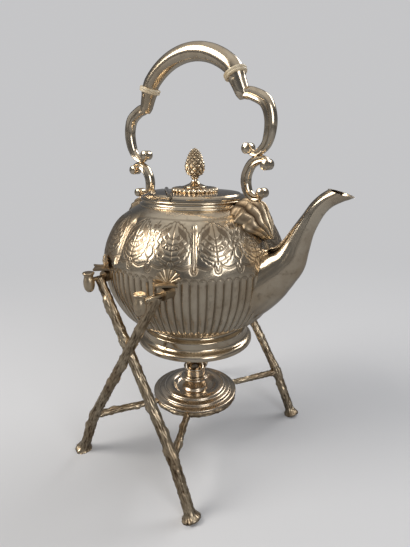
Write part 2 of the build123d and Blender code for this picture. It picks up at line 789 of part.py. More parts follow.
# ---------------------------------------------------------------- assembly
def assemble():
    pieces = {}
    body = bowl_solid()
    ring = burner_ring()
    legs = []
    for side_name, side in SIDES.items():
        outer, inner = leg_pair(side)
        pieces["leg_rear_" + side_name] = outer
        pieces["leg_front_" + side_name] = inner
        legs += [outer, inner]
    pieces["burner_ring"] = ring
    for side_name, side in SIDES.items():
        for way_name, way in WAYS.items():
            pieces[f"stretcher_{way_name}_{side_name}"] = stretcher(side, way, legs + [ring])
            pieces[f"hanging_pin_{way_name}_{side_name}"] = hanging_pin(side, way)
            carrier = lug(side, way, body)
            pieces[f"lug_{way_name}_{side_name}"] = carrier
            pieces[f"shell_{way_name}_{side_name}"] = shell(side, way, body, carrier)

    pieces["kettle_bowl"] = bowl(body)
    pieces["kettle_foot"] = kettle_foot()
    pieces["collar"] = collar(body)
    pieces["spout"] = spout(body)
    pieces["hinge_plate"] = hinge_plate()
    pieces["hinge_pin"] = hinge_barrel(-hinge_half_length, hinge_half_length, hinge_pin_r)
    for way_name, way in WAYS.items():
        bracket = handle_bracket(way, body)
        pieces["handle_bracket_" + way_name] = bracket
        pieces["handle_leg_" + way_name] = handle_leg(way, bracket, body)
        pieces["insulator_" + way_name] = insulator(way)
    pieces["handle_grip"] = grip()
    pieces["handle_rivets"] = handle_rivets()

    pieces["lid"] = lid_plate()
    pieces["rosette"] = rosette()
    pieces["finial_dome"] = finial_dome()
    pieces["pine_cone"] = pine_cone()
    pieces["finial_stud"] = finial_stud()
    pieces["finial_nut"] = finial_nut()

    pieces["burner_font"] = burner_font()
    pieces["burner_cover"] = burner_cover()
    pieces["burner_neck"] = burner_neck()
    pieces["wick_cup"] = wick_cup()
    pieces["flame_petals"] = flame_petals()
    pieces["wick_tube"] = wick_tube()
    pieces["wick"] = wick()
    return pieces


os.makedirs("parts", exist_ok=True)
for name, piece in assemble().items():
    export_step(piece if isinstance(piece, Compound) else Compound([piece]), f"parts/{name}.step")
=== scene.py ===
"""The looks of a silver-plated spirit kettle on its branch stand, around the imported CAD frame.

Sizes are millimetres in the CAD part's own frame: Z up, the spout along +X, the near side -Y.
mesh_object() turns them to metres. A bearing is in degrees from -Y towards +X.
"""

import bmesh
import bpy
import numpy as np
from mathutils import Matrix, Vector, noise


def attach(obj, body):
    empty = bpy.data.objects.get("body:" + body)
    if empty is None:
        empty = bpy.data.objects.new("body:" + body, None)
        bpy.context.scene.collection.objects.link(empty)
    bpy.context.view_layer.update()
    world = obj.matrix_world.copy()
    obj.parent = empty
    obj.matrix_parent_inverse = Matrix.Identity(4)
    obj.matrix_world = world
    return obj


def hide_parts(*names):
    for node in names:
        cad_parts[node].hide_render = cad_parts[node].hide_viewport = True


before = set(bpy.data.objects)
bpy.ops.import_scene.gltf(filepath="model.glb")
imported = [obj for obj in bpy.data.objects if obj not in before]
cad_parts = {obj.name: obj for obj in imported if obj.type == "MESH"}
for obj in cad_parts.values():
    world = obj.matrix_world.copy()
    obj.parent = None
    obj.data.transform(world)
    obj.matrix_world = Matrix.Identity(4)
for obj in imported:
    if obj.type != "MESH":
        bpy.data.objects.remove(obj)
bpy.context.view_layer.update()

MM = 0.001
TAU = 2 * np.pi
PATINA_AND_SHADE = "patina_and_shade"  # the attribute that darkens the hollows: real patina there, with painted shade laid into the same places

# ---------------------------------------------------------------- sizes shared with the frame
belly_r, belly_z = 89.5, 205.0
bowl_bottom_r, bowl_bottom_z = 50.0, 139.0
bowl_mouth_r, bowl_top_z = 52.0, 260.0
bowl_wall = 1.5
lid_top_z = 271.3
rosette_top_z = lid_top_z + 4.0
finial_dome_height, pine_cone_height, pine_cone_r = 10.0, 26.0, 9.7
pin_x, pin_z, pin_r = 38.0, 198.0, 2.0
eye_y, eye_length = 92.0, 8.0
leg_stagger = 1.5
knee = (52.0, 96.0, 51.0)
foot = (74.0, 97.5, 0.0)
ring_r, ring_z = 42.0, 50.0
handle_lean = 3.4
SIDES = {"right": -1, "left": 1}
WAYS = {"front": 1, "rear": -1}


# ---------------------------------------------------------------- mesh helpers
def headings(path):
    """Unit vectors along a path."""
    steps = np.gradient(np.asarray(path, dtype=float), axis=0)
    return steps / np.linalg.norm(steps, axis=1)[:, None]


def square_to(heading):
    """The directions square to headings that lie in the XZ plane, and in that plane too."""
    return np.stack([-heading[:, 2], 0 * heading[:, 0], heading[:, 0]], 1)


def run_lengths(path):
    """How far along the path each of its points lies."""
    return np.concatenate([[0], np.cumsum(np.linalg.norm(np.diff(path, axis=0), axis=1))])


def around(r, bearing, z):
    """Points from radius, bearing in radians and height."""
    return np.stack(np.broadcast_arrays(r * np.sin(bearing), -r * np.cos(bearing), z), -1)


def mesh_object(
    name, points, faces, material, body, stands_for=(), sharp=40, slot=None, patina_and_shade=None, closed=False
):
    """A piece from points in millimetres, riding on a body of the frame.

    The darkening given for each point, from 0 to 1, is real patina in the hollows with painted shade there. A
    closed piece has its faces turned outward.
    """
    points = np.asarray(points, dtype=float).reshape(-1, 3) * MM
    mesh = bpy.data.meshes.new(name)
    mesh.from_pydata(points.tolist(), [], [[int(corner) for corner in face] for face in faces])
    mesh.validate()
    obj = bpy.data.objects.new(name, mesh)
    bpy.context.scene.collection.objects.link(obj)
    mesh.materials.append(material)
    for polygon in mesh.polygons:
        polygon.use_smooth = True
    if sharp:
        mesh.set_sharp_from_angle(angle=np.radians(sharp))
    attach(obj, body)
    if stands_for:
        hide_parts(*stands_for)
    if patina_and_shade is not None:
        attribute = mesh.attributes.new(PATINA_AND_SHADE, "FLOAT", "POINT")
        attribute.data.foreach_set("value", np.clip(patina_and_shade, 0, 1).astype(np.float32).ravel())
    if closed:
        work = bmesh.new()
        work.from_mesh(mesh)
        bmesh.ops.recalc_face_normals(work, faces=work.faces)
        work.to_mesh(mesh)
        work.free()
    return obj


def keep_mesh(material, *nodes):
    """Gives a material to nodes that keep the frame's own mesh."""
    for node in nodes:
        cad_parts[node].data.materials.clear()
        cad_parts[node].data.materials.append(material)


def grid_faces(rows, columns, wrap_columns=False):
    """Quads over a grid whose points run column by column within each row."""
    r, c = np.arange(rows - 1), np.arange(columns if wrap_columns else columns - 1)
    r, c = [a.ravel() for a in np.meshgrid(r, c, indexing="ij")]
    c2 = (c + 1) % columns
    return np.stack([r * columns + c, r * columns + c2, (r + 1) * columns + c2, (r + 1) * columns + c], 1)


def closed_faces(rows, columns):
    """The faces of a tube's grid, with a cap on each end."""
    first = list(range(columns))
    faces = grid_faces(rows, columns, wrap_columns=True).tolist()
    return faces + [first[::-1], [columns * (rows - 1) + corner for corner in first]]


def join(*parts):
    """Several (points, faces) meshes as one. Faces are lists, so that sizes may differ."""
    points, faces, start = [], [], 0
    for part_points, part_faces in parts:
        part_points = np.asarray(part_points, dtype=float).reshape(-1, 3)
        points.append(part_points)
        faces += [[int(i) + start for i in face] for face in part_faces]
        start += len(part_points)
    return np.concatenate(points), faces


def soften(outline, radius=0.4, steps=3):
    """An outline of (radius, height) corners with each corner rounded."""
    points = [np.array(p, dtype=float) for p in outline]
    out = [points[0]]
    for before, here, after in zip(points, points[1:], points[2:]):
        back, ahead = before - here, after - here
        reach_back = min(radius, 0.45 * np.hypot(*back)) / max(np.hypot(*back), 1e-9)
        reach_ahead = min(radius, 0.45 * np.hypot(*ahead)) / max(np.hypot(*ahead), 1e-9)
        start, end = here + back * reach_back, here + ahead * reach_ahead
        for step in np.linspace(0, 1, steps + 1):
            out.append((1 - step) ** 2 * start + 2 * step * (1 - step) * here + step**2 * end)
    out.append(points[-1])
    return np.array(out)


def smooth_curve(points, count):
    """A smooth curve through points: Catmull-Rom, evenly spaced along its length."""
    p = np.asarray(points, dtype=float)
    p = np.vstack([2 * p[0] - p[1], p, 2 * p[-1] - p[-2]])
    dense = []
    for i in range(1, len(p) - 2):
        t = np.linspace(0, 1, 24, endpoint=False)[:, None]
        a, b, c, d = p[i - 1], p[i], p[i + 1], p[i + 2]
        dense.append(
            0.5 * (2 * b + (c - a) * t + (2 * a - 5 * b + 4 * c - d) * t**2 + (3 * b - a - 3 * c + d) * t**3)
        )
    dense = np.vstack(dense + [p[-2][None]])
    run = run_lengths(dense)
    return along(dense, run, np.linspace(0, run[-1], count))


def along(values, run, places):
    return np.stack([np.interp(places, run, values[:, k]) for k in range(values.shape[1])], 1)


def lathe(outline, segments=160, wobble=None):
    """A turned grid from (radius, height) points. wobble(angle, row) moves radius and height."""
    outline = np.asarray(outline, dtype=float)
    angle = np.linspace(0, TAU, segments, endpoint=False)
    r = np.repeat(outline[:, 0:1], segments, 1)
    z = np.repeat(outline[:, 1:2], segments, 1)
    if wobble is not None:
        r, z = wobble(angle[None, :], r, z)
    faces = grid_faces(len(outline), segments, wrap_columns=True)[:, ::-1]
    return around(r, angle, z).reshape(-1, 3), faces


def turned(name, outline, material, body, stands_for=(), segments=160, wobble=None, slot=None, rounding=0.4):
    """A turned piece. Its outline runs from the bottom, outside, to the top, and back inside if hollow."""
    points, faces = lathe(soften(outline, rounding), segments, wobble)
    return mesh_object(name, points, faces, material, body, stands_for, slot=slot)


def frames_along(path, up=(0, 0, 1)):
    """Side and up vectors along a path, with little twist."""
    tangent = headings(path)
    up = np.array(up, dtype=float)
    if abs(tangent[0] @ up) > 0.9:
        up = np.array([1.0, 0, 0])
    sides, ups = [], []
    for t in tangent:
        side = np.cross(t, up)
        side /= np.linalg.norm(side)
        up = np.cross(side, t)
        sides.append(side)
        ups.append(up)
    return np.array(sides), np.array(ups)


def tube(path, radii, sides=24, up=(0, 0, 1)):
    """A closed round tube along a path."""
    path = np.asarray(path, dtype=float)
    radii = np.broadcast_to(np.asarray(radii, dtype=float), (len(path),))[:, None, None]
    side, up = frames_along(path, up)
    angle = np.linspace(0, TAU, sides, endpoint=False)[None, :, None]
    points = path[:, None] + radii * (np.cos(angle) * side[:, None] + np.sin(angle) * up[:, None])
    return points.reshape(-1, 3), closed_faces(len(path), sides)


def leaned(points):
    """Points of the upright handle, tipped a little to the rear as the frame's handle is."""
    turn = np.radians(-handle_lean)
    points = np.array(points, dtype=float)
    x, z = points[..., 0], points[..., 2] - bowl_top_z
    points[..., 0], points[..., 2] = (
        x * np.cos(turn) + z * np.sin(turn),
        bowl_top_z - x * np.sin(turn) + z * np.cos(turn),
    )
    return points


# ---------------------------------------------------------------- materials
def material(name, build):
    """A node material. build(nodes, link, shader) wires it."""
    mat = bpy.data.materials.new(name)
    mat.use_nodes = True
    nodes = mat.node_tree.nodes
    shader = nodes["Principled BSDF"]
    build(nodes, mat.node_tree.links.new, shader)
    return mat


def new_node(nodes, kind, **values):
    """A node with some of its inputs set."""
    node = nodes.new("ShaderNode" + kind)
    for socket, value in values.items():
        node.inputs[socket.replace("_", " ")].default_value = value
    return node


def noise_node(nodes, link, scale, detail=4.0, roughness=0.55):
    node = new_node(nodes, "TexNoise", Scale=scale, Detail=detail, Roughness=roughness)
    link(nodes.new("ShaderNodeTexCoord").outputs["Object"], node.inputs["Vector"])
    return node


def ramp_node(nodes, link, source, stops):
    node, stops = nodes.new("ShaderNodeValToRGB"), list(stops)
    while len(node.color_ramp.elements) < len(stops):
        node.color_ramp.elements.new(0.5)
    for element, (place, colour) in zip(node.color_ramp.elements, stops):
        element.position = place
        element.color = (*colour, 1)
    link(source, node.inputs["Fac"])
    return node


def mix_colour(nodes, link, share, a, b):
    node = nodes.new("ShaderNodeMix")
    node.data_type = "RGBA"
    link(share, node.inputs["Factor"])
    for socket, value in (("A", a), ("B", b)):
        target = [i for i in node.inputs if i.name == socket and i.type == "RGBA"][0]
        if isinstance(value, tuple):
            target.default_value = (*value, 1)
        else:
            link(value, target)
    return [o for o in node.outputs if o.type == "RGBA"][0]


# Noise scales of the silver, in features to the metre, and the heights of its scratches and pits in metres.
MOTTLE_SCALE, SPOT_SCALE, SCRATCH_SCALE, PIT_SCALE = 28, 160, 900, 220
SCRATCH_HEIGHT, PIT_HEIGHT = 0.0002, 0.0008
PATINA_ROUGHNESS = 0.25
BRIGHT, DULL, DARK = (0.84, 0.71, 0.53), (0.60, 0.47, 0.32), (0.09, 0.055, 0.03)


def silver(name, bright, dull, roughness, scratch, with_patina_and_shade=False, bumps=0.0):
    """Worn silver plate: warm mottled metal with dark spots, and with painted shade and real patina darkening
    the marked hollows.
    """

    def build(nodes, link, shader):
        mottle = noise_node(nodes, link, MOTTLE_SCALE, 5)
        tone = ramp_node(nodes, link, mottle.outputs["Fac"], [(0.36, dull), (0.62, bright)])
        colour = tone.outputs["Color"]
        spots = noise_node(nodes, link, SPOT_SCALE, 6, 0.65)
        spot_stops = [(0.56, (0, 0, 0)), (0.74, (0.5, 0.5, 0.5))]
        spot_share = ramp_node(nodes, link, spots.outputs["Fac"], spot_stops)
        colour = mix_colour(nodes, link, spot_share.outputs["Color"], colour, DARK)
        smooth, rough = roughness
        gloss = new_node(nodes, "MapRange", From_Min=0.3, From_Max=0.7, To_Min=rough, To_Max=smooth)
        link(mottle.outputs["Fac"], gloss.inputs["Value"])
        rough = gloss.outputs["Result"]
        if with_patina_and_shade:
            # Painted shade with real patina: the per-point darkening mixes in the dark colour and adds
            # roughness.
            patina_and_shade = nodes.new("ShaderNodeAttribute")
            patina_and_shade.attribute_name = PATINA_AND_SHADE
            colour = mix_colour(nodes, link, patina_and_shade.outputs["Fac"], colour, DARK)
            more = nodes.new("ShaderNodeMath")
            more.operation = "MULTIPLY_ADD"
            link(patina_and_shade.outputs["Fac"], more.inputs[0])
            more.inputs[1].default_value = PATINA_ROUGHNESS
            link(rough, more.inputs[2])
            rough = more.outputs[0]
        link(colour, shader.inputs["Base Color"])
        link(rough, shader.inputs["Roughness"])
        shader.inputs["Metallic"].default_value = 1.0
        fine = noise_node(nodes, link, SCRATCH_SCALE, 3, 0.6)
        normal = new_node(nodes, "Bump", Strength=scratch, Distance=SCRATCH_HEIGHT)
        link(fine.outputs["Fac"], normal.inputs["Height"])
        if bumps:
            coarse = noise_node(nodes, link, PIT_SCALE, 5, 0.6)
            pits = new_node(nodes, "Bump", Strength=bumps, Distance=PIT_HEIGHT)
            link(coarse.outputs["Fac"], pits.inputs["Height"])
            link(normal.outputs["Normal"], pits.inputs["Normal"])
            normal = pits
        link(normal.outputs["Normal"], shader.inputs["Normal"])

    return material(name, build)


plate = silver("silver_plate", BRIGHT, DULL, (0.10, 0.26), 0.06)
chased = silver("chased_plate", BRIGHT, DULL, (0.14, 0.30), 0.08, with_patina_and_shade=True)
cast = silver("cast_silver", (0.80, 0.65, 0.45), (0.52, 0.39, 0.25), (0.20, 0.42), 0.2, True, bumps=0.3)
burner_metal = silver("burner_plate", (0.78, 0.67, 0.53), (0.60, 0.48, 0.35), (0.12, 0.32), 0.08)


def mottled(name, noise, colours, rough_noise, rough_stops, metallic=0.0):
    """Two colours blended over noise, and a roughness that follows noise. A noise is scale and detail."""

    def build(nodes, link, shader):
        tint = noise_node(nodes, link, *noise)
        tone = ramp_node(nodes, link, tint.outputs["Fac"], zip((0.3, 0.7), colours))
        link(tone.outputs["Color"], shader.inputs["Base Color"])
        wear = noise_node(nodes, link, *rough_noise)
        greys = [(place, (value,) * 3) for place, value in rough_stops]
        rough = ramp_node(nodes, link, wear.outputs["Fac"], greys)
        link(rough.outputs["Color"], shader.inputs["Roughness"])
        shader.inputs["Metallic"].default_value = metallic

    return material(name, build)


bone = mottled(
    "bone", (90, 5), ((0.52, 0.40, 0.24), (0.80, 0.70, 0.52)), (500, 4), ((0.3, 0.30), (0.7, 0.48))
)
wick_cotton = mottled(
    "wick_cotton", (700, 4), ((0.05, 0.04, 0.03), (0.42, 0.35, 0.26)), (700, 4), ((0.2, 0.8), (0.8, 0.98))
)
brass = mottled(
    "dull_brass", (120, 5), ((0.30, 0.20, 0.09), (0.62, 0.47, 0.24)), (120, 5), ((0.3, 0.5), (0.7, 0.3)), 1.0
)


# ---------------------------------------------------------------- bowl
def bowl_outline():
    """The body's side from foot to mouth, as the CAD part shapes it."""
    lower = ((0, 0), (0.31, 0.11), (0.61, 0.26), (0.92, 0.63))
    upper = ((1, 0), (0.92, 0.34), (0.64, 0.70), (0.30, 0.885), (0, 1))
    out, rise = belly_r - bowl_bottom_r, belly_z - bowl_bottom_z
    points = [(bowl_bottom_r + out * a, bowl_bottom_z + rise * b) for a, b in lower]
    out, rise = belly_r - bowl_mouth_r, bowl_top_z - belly_z
    points += [(bowl_mouth_r + out * a, belly_z + rise * b) for a, b in upper]
    return smooth_curve(points, 600)


SIDE = bowl_outline()
SIDE_TANGENT, SIDE_RUN = headings(SIDE), run_lengths(SIDE)
FLUTES, LOBES = 77, 7
FLUTE_TOP, FLUTE_END = 208.5, 144.0


def side_at(run):
    """Radius, height and outward normal of the body's side at a distance from its foot."""
    r, z = np.interp(run, SIDE_RUN, SIDE[:, 0]), np.interp(run, SIDE_RUN, SIDE[:, 1])
    tr = np.interp(run, SIDE_RUN, SIDE_TANGENT[:, 0])
    tz = np.interp(run, SIDE_RUN, SIDE_TANGENT[:, 1])
    return r, z, tz, -tr


def run_at(height):
    return np.interp(height, SIDE[:, 1], SIDE_RUN)


def on_body(bearing, height, lift=0.0):
    """A point on the body's skin at a bearing and height, lifted off it along the normal."""
    r, z, nr, nz = side_at(run_at(height))
    return around(r + nr * lift, np.radians(bearing), z + nz * lift)


def smoothstep(low, high, x):
    t = np.clip((x - low) / (high - low), 0, 1)
    return t * t * (3 - 2 * t)


def fold(degrees, count):
    """How far a bearing lies between evenly spaced lines, the first at +X: 0 on a line, 1 midway."""
    return np.abs(((degrees - 90) / (360 / count) + 0.5) % 1 - 0.5) * 2


def lobe_sag(degrees, z):
    """How far the skin dips towards the valleys between the seven lobes of the upper body."""
    deepest, sharpness = 3.2, 2.6
    depth = deepest * smoothstep(208, 222, z) * (1 - smoothstep(248, 257, z))
    return -depth * (1 - fold(degrees, LOBES)) ** sharpness


def bowl_grid(runs, segments, relief):
    """Points, and how dark each is (painted shade with real patina in the hollows), over a stretch of the
    body's skin.
    """
    angle = np.linspace(0, 360, segments, endpoint=False)[None, :]
    r, z, nr, nz = [a[:, None] for a in side_at(runs)]
    lift, patina_and_shade = relief(angle, z + 0 * angle, r + 0 * angle)
    return around(r + nr * lift, np.radians(angle), z + nz * lift), patina_and_shade


def flute_relief(angle, z, r):
    """Convex ribs with arched tops and furrows, 11 to a lobe; the furrows and the groove over the arches are
    darkened with painted shade and real patina.
    """
    arch_share, depth_share = 0.62, 0.34  # of the pitch
    arch_edge, foot_fade_length = 1.6, 8.0
    rim_rise, rim_width, rim_depth = 0.8, 0.7, 0.5
    across = fold(angle, FLUTES)  # 0 on a rib's crest, 1 in its furrow
    pitch = TAU * r / FLUTES
    arch_top = FLUTE_TOP - arch_share * pitch * (1 - np.sqrt(np.clip(1 - across**2, 0, 1)))
    arch = smoothstep(0, arch_edge, arch_top - z)
    foot_fade = smoothstep(FLUTE_END - 3, FLUTE_END - 3 + foot_fade_length, z)
    rib = np.sqrt(np.clip(1 - across**2.2, 0, 1))
    rim = np.exp(-(((arch_top + rim_rise - z) / rim_width) ** 2))
    lift = -depth_share * pitch * (1 - rib) * arch * foot_fade - rim_depth * rim * smoothstep(190, 200, z)
    # Darker in the furrows and in the groove round the arch tops: painted shade, with real patina in these
    # hollows.
    patina_and_shade = 0.9 * across**5 * arch * foot_fade + 0.55 * rim
    return lift, patina_and_shade


def arc_of(points, scallops, swell):
    """A line through points with small bows outward along it."""
    path = smooth_curve(points, 10 * scallops)
    heading = headings(path)
    bow = swell * np.abs(np.sin(np.linspace(0, np.pi * scallops, len(path))))
    return path + bow[:, None] * np.stack([heading[:, 1], -heading[:, 0]], 1)


def ring_of(x, z, radius, turns=1.0, start=0.0, shrink=0.0):
    """A small circle, or a curl when it shrinks."""
    turn = start + np.linspace(0, TAU * turns, int(12 * turns) + 2)
    reach = radius * (1 - shrink * np.linspace(0, 1, len(turn)))
    return np.stack([x + reach * np.cos(turn), z + reach * np.sin(turn)], 1)


def leaf_lines():
    """Half of one engraved leaf: millimetres from its middle line, and height."""
    edge = [(1.5, 219.5), (6, 222), (11, 226.5), (14, 233), (14.4, 240), (11.5, 246.5), (5, 250.5), (0, 252)]
    veins = ((223, 9.5, 227), (227, 12.2, 232), (231, 12.6, 238), (235, 11.2, 243.5), (239.5, 8.0, 247.6))
    lines = [[(0, 221), (0, 251.5)], arc_of(edge, 11, 0.9)]
    for root_z, end_x, end_z in veins:
        bend = (0.45 * end_x, root_z + 0.25 * (end_z - root_z))
        lines.append(smooth_curve([(0, root_z), bend, (end_x, end_z)], 9))
    for k in range(8):
        lines.append([(3.2 + 1.05 * k, 249.3 - 0.55 * k), (4.6 + 1.05 * k, 245.2 - 0.9 * k)])
    for k in range(6):
        lines.append([(5.6 + 0.9 * k, 229.2 + 1.1 * k), (7.2 + 0.7 * k, 226.6 + 1.2 * k)])
    lines.append(ring_of(4.0, 233.4, 1.5))
    lines.append(ring_of(7.4, 236.8, 1.9, 1.6, 2.0, 0.8))
    lines.append(ring_of(4.6, 241.4, 1.7, 1.6, 4.0, 0.8))
    lines.append([(0, 224), (2.4, 222.4), (3.2, 219.6)])
    return lines


def pendant_lines():
    """Half of one hanging drop and of the swag that leads to the next."""
    swag = [(2.6 + 7.5 * t, 219.4 - 4.6 * t * (1.0 - 0.42 * t)) for t in np.linspace(0, 1, 8)]
    return [
        [(2.6, 219.6), (2.5, 216.4), (1.7, 213.9), (0, 212.9)], [(1.3, 219.0), (1.2, 216.8), (0, 215.0)],
        swag, [(x, z + 1.5) for x, z in swag],
    ]


def scroll_lines():
    """Half of the scrolls between two leaves of a lobe, measured from the lobe's middle."""
    return [
        smooth_curve([(0.3, 224), (3.2, 227.5), (2.6, 232), (0.3, 234.5)], 10),
        ring_of(0.0, 238.4, 1.9),
        ring_of(2.6, 243.2, 1.7, 1.6, 3.4, 0.8),
        ring_of(2.2, 248.4, 1.4, 1.6, 0.6, 0.8),
        [(0, 241), (0, 252)],
        [(0, 221), (0, 224)],
    ]


def line_field(lines, x, z, width):
    """How near each point is to any of the lines, 1 on a line, falling off within its width."""
    nearest = np.full(x.shape, 1e9)
    for line in lines:
        line = np.asarray(line, dtype=float)
        for (ax, az), (bx, bz) in zip(line, line[1:]):
            dx, dz = bx - ax, bz - az
            t = np.clip(((x - ax) * dx + (z - az) * dz) / max(dx * dx + dz * dz, 1e-9), 0, 1)
            nearest = np.minimum(nearest, (x - ax - t * dx) ** 2 + (z - az - t * dz) ** 2)
    return np.exp(-nearest / width**2)


def engraving_relief(angle, z, r):
    """Lobes, each with a pair of engraved leaves, scrolls between them, and swags below."""
    columns = angle.shape[1]
    engraved_r = 80.0  # the radius at which the engraving's millimetres are true
    line_width, line_depth, border_z = 0.5, 0.30, 253.4
    crease_width, crease_depth, fillet_width, fillet_rise = 1.9, 1.2, 0.55, 1.3
    half_lobe = 180 / LOBES
    from_valley = fold(angle[0], LOBES) * half_lobe
    folded, place = np.unique(np.round(from_valley, 4), return_inverse=True)
    high = z[:, :1] + 0 * folded[None, :]
    reach = np.radians(1) * engraved_r
    leaf_x = np.abs(folded - half_lobe / 2)[None, :] * reach + 0 * high
    middle_x = (half_lobe - folded)[None, :] * reach + 0 * high
    drop_x = np.abs((folded + half_lobe / 4) % (half_lobe / 2) - half_lobe / 4)[None, :] * reach + 0 * high
    lines = 0.8 * np.exp(-(((high - border_z) / line_width) ** 2))
    for drawn, x in ((leaf_lines(), leaf_x), (scroll_lines(), middle_x), (pendant_lines(), drop_x)):
        lines = np.maximum(lines, line_field(drawn, x, high, line_width))
    lines = lines[:, place.reshape(columns)]
    valley = np.radians(from_valley)[None, :] * r
    strength = smoothstep(211, 216, z) * (1 - smoothstep(249, 253, z))
    crease = np.exp(-((valley / crease_width) ** 2)) * strength
    fillet = np.exp(-((valley / fillet_width) ** 2)) * strength
    lift = lobe_sag(angle, z) - line_depth * lines - crease_depth * crease + fillet_rise * fillet
    # Darker along the engraved lines, down the crease sides and a little over the whole band: painted shade
    # with real patina in these hollows. The raised fillet is kept clear of it, so it shows as a light line.
    tone = smoothstep(213, 216, z) * (1 - smoothstep(250, 252, z))
    patina_and_shade = 0.72 * lines + 0.85 * crease - 1.0 * fillet + 0.16 * tone
    return lift, patina_and_shade


def build_bowl():
    """The fluted and engraved skins, which meet just over the flutes, and the lining inside them."""
    split, shoulder = run_at(210.3), run_at(253)
    segments = FLUTES * 14
    points, patina_and_shade = bowl_grid(np.linspace(0, split, 72), segments, flute_relief)
    base = points[0] * [0.02, 0.02, 1]
    points = np.concatenate([base[None], points])
    patina_and_shade = np.concatenate([patina_and_shade[:1], patina_and_shade])
    faces = grid_faces(len(points), segments, wrap_columns=True)[:, ::-1]
    lower = mesh_object(
        "bowl_fluted", points, faces, chased, "kettle", ("kettle_bowl",), sharp=0, patina_and_shade=patina_and_shade
    )
    segments = LOBES * 148
    shoulder_runs = np.linspace(shoulder, SIDE_RUN[-1], 13)[1:]
    high_runs = np.concatenate([np.linspace(split, shoulder, 83), shoulder_runs])
    points, patina_and_shade = bowl_grid(high_runs, segments, engraving_relief)
    faces = grid_faces(len(points), segments, wrap_columns=True)[:, ::-1]
    upper = mesh_object(
        "bowl_engraved", points, faces, chased, "kettle", ("kettle_bowl",), sharp=0, patina_and_shade=patina_and_shade
    )
    r, z, nr, nz = side_at(np.linspace(SIDE_RUN[-1], 0, 60))
    behind_flutes, behind_lobes = 1.6, 1.8  # keeps the lining inside the deepest furrows
    more = (behind_flutes + behind_lobes * smoothstep(207, 214, z)) * (1 - smoothstep(251, 257, z))
    inset = bowl_wall + more
    inner = np.stack([r - nr * inset, z - nz * inset + 0.3], 1)
    inner = np.vstack([[(bowl_mouth_r - 0.3, bowl_top_z)], inner, [(0.5, bowl_bottom_z + bowl_wall)]])
    lining = mesh_object("bowl_lining", *lathe(inner, 140), plate, "kettle", ("kettle_bowl",))


build_bowl()

# ---------------------------------------------------------------- foot, collar, lid
turned(
    "spreading_foot",
    [
        (47.0, 137.5), (51.6, 133), (51.6, 127.5), (56.2, 122.5), (57.0, 118.0), (58.6, 118.0),
        (60.0, 119.2), (60.0, 122.6), (58.4, 124.4), (56.0, 125.4), (54.2, 127.2), (53.8, 128.2),
        (54.0, 129.0), (54.0, 134.4), (52.8, 135.2), (50.6, 136.2), (49.6, 137.6), (50.0, 139.0),
        (47.0, 139.0), (47.0, 137.5),
    ],
    plate, "kettle", ("kettle_foot",), slot="silver_plate", rounding=0.9,
)
turned(
    "mouth_collar",
    [
        (47.2, 256.0), (50.2, 256.0), (50.4, 259.5), (53.4, 259.2), (53.4, 260.6), (52.0, 261.6),
        (51.2, 262.6), (51.2, 264.0), (52.2, 264.6), (52.2, 265.4), (51.6, 266.0), (47.2, 266.0),
        (47.2, 256.0),
    ],
    plate, "kettle", ("collar",), slot="silver_plate", rounding=0.5,
)
keep_mesh(plate, "hinge_plate", "hinge_pin", "lid")


def gadroon(angle, r, z):
    """Radial lobes round the rosette's edge."""
    lobes, lobe_depth = 24, 1.1
    share = smoothstep(13, 22, r)
    ribs = np.abs(np.cos(angle * lobes / 2)) ** 0.6
    lift = np.where(z > lid_top_z + 0.4, 1.0, 0.0)
    return r - lobe_depth * share * (1 - ribs) * lift, z - 1.0 * share * (1 - ribs) * lift


def above(base, outline):
    """An outline with its heights counted from a base."""
    return [(r, base + z) for r, z in outline]


turned(
    "rosette_disc",
    above(lid_top_z, [
        (0.3, 0), (21.5, 0), (22.6, 0.6), (23.0, 1.8), (22.4, 3.0), (19.5, 4.0), (16, 3.9), (12.4, 3.3),
        (11.2, 4.0), (0.3, 4.0),
    ]),
    chased, "lid", ("rosette",), segments=280, wobble=gadroon, slot="silver_plate", rounding=1.0,
)
turned(
    "finial_stem",
    above(rosette_top_z, [
        (0.3, 0), (11.4, 0), (11.2, 0.8), (8.8, 1.9), (5.2, 3.4), (3.2, 5.6), (2.7, 7.6), (3.2, 8.4),
        (4.3, 8.8), (4.3, 9.6), (3.4, 10), (0.3, 10),
    ]),
    plate, "lid", ("finial_dome",), slot="cast_silver", rounding=0.8,
)


def build_pine_cone():
    """A cone of overlapping pointed scales in crossing spirals."""
    low = rosette_top_z + finial_dome_height
    rows, columns = 150, 180
    t = np.linspace(0, 1, rows)[:, None]
    angle = np.linspace(0, TAU, columns, endpoint=False)[None, :]
    side = [(0.38, 0), (0.78, 0.08), (0.97, 0.26), (0.96, 0.44), (0.66, 0.76), (0.34, 0.93), (0.04, 1.0)]
    side = smooth_curve(side, rows)
    r0, z0 = side[:, 0:1] * pine_cone_r, low + side[:, 1:2] * pine_cone_height
    scales_round, twist = 9, 7.5
    a = scales_round * angle / TAU + twist * t
    b = scales_round * angle / TAU - twist * t
    u, v = a % 1, b % 1
    across, up = u - v, u + v - 1
    scale = np.clip(1 - np.maximum(np.abs(2 * u - 1), np.abs(2 * v - 1)), 0, 1)
    ridge = np.clip(1 - np.abs(across) * 2.2, 0, 1)
    lift = 1.25 * scale**0.6 + 0.35 * ridge * scale + 0.45 * (1 - (up + 1) / 2) * scale**0.5
    # Darker in the gaps between the scales: painted shade, with real patina there.
    patina_and_shade = (1 - scale) ** 3.0
    r = (r0 + (lift - 1.3) * np.clip(side[:, 0:1] * 1.6, 0, 1)) + 0 * angle
    points = around(r, angle, z0)
    faces = grid_faces(rows, columns, wrap_columns=True)[:, ::-1]
    mesh_object(
        "pine_cone_finial", points, faces, cast, "lid", ("pine_cone",), 0, "cast_silver", patina_and_shade
    )


build_pine_cone()
keep_mesh(brass, "finial_stud", "finial_nut", "wick_tube")

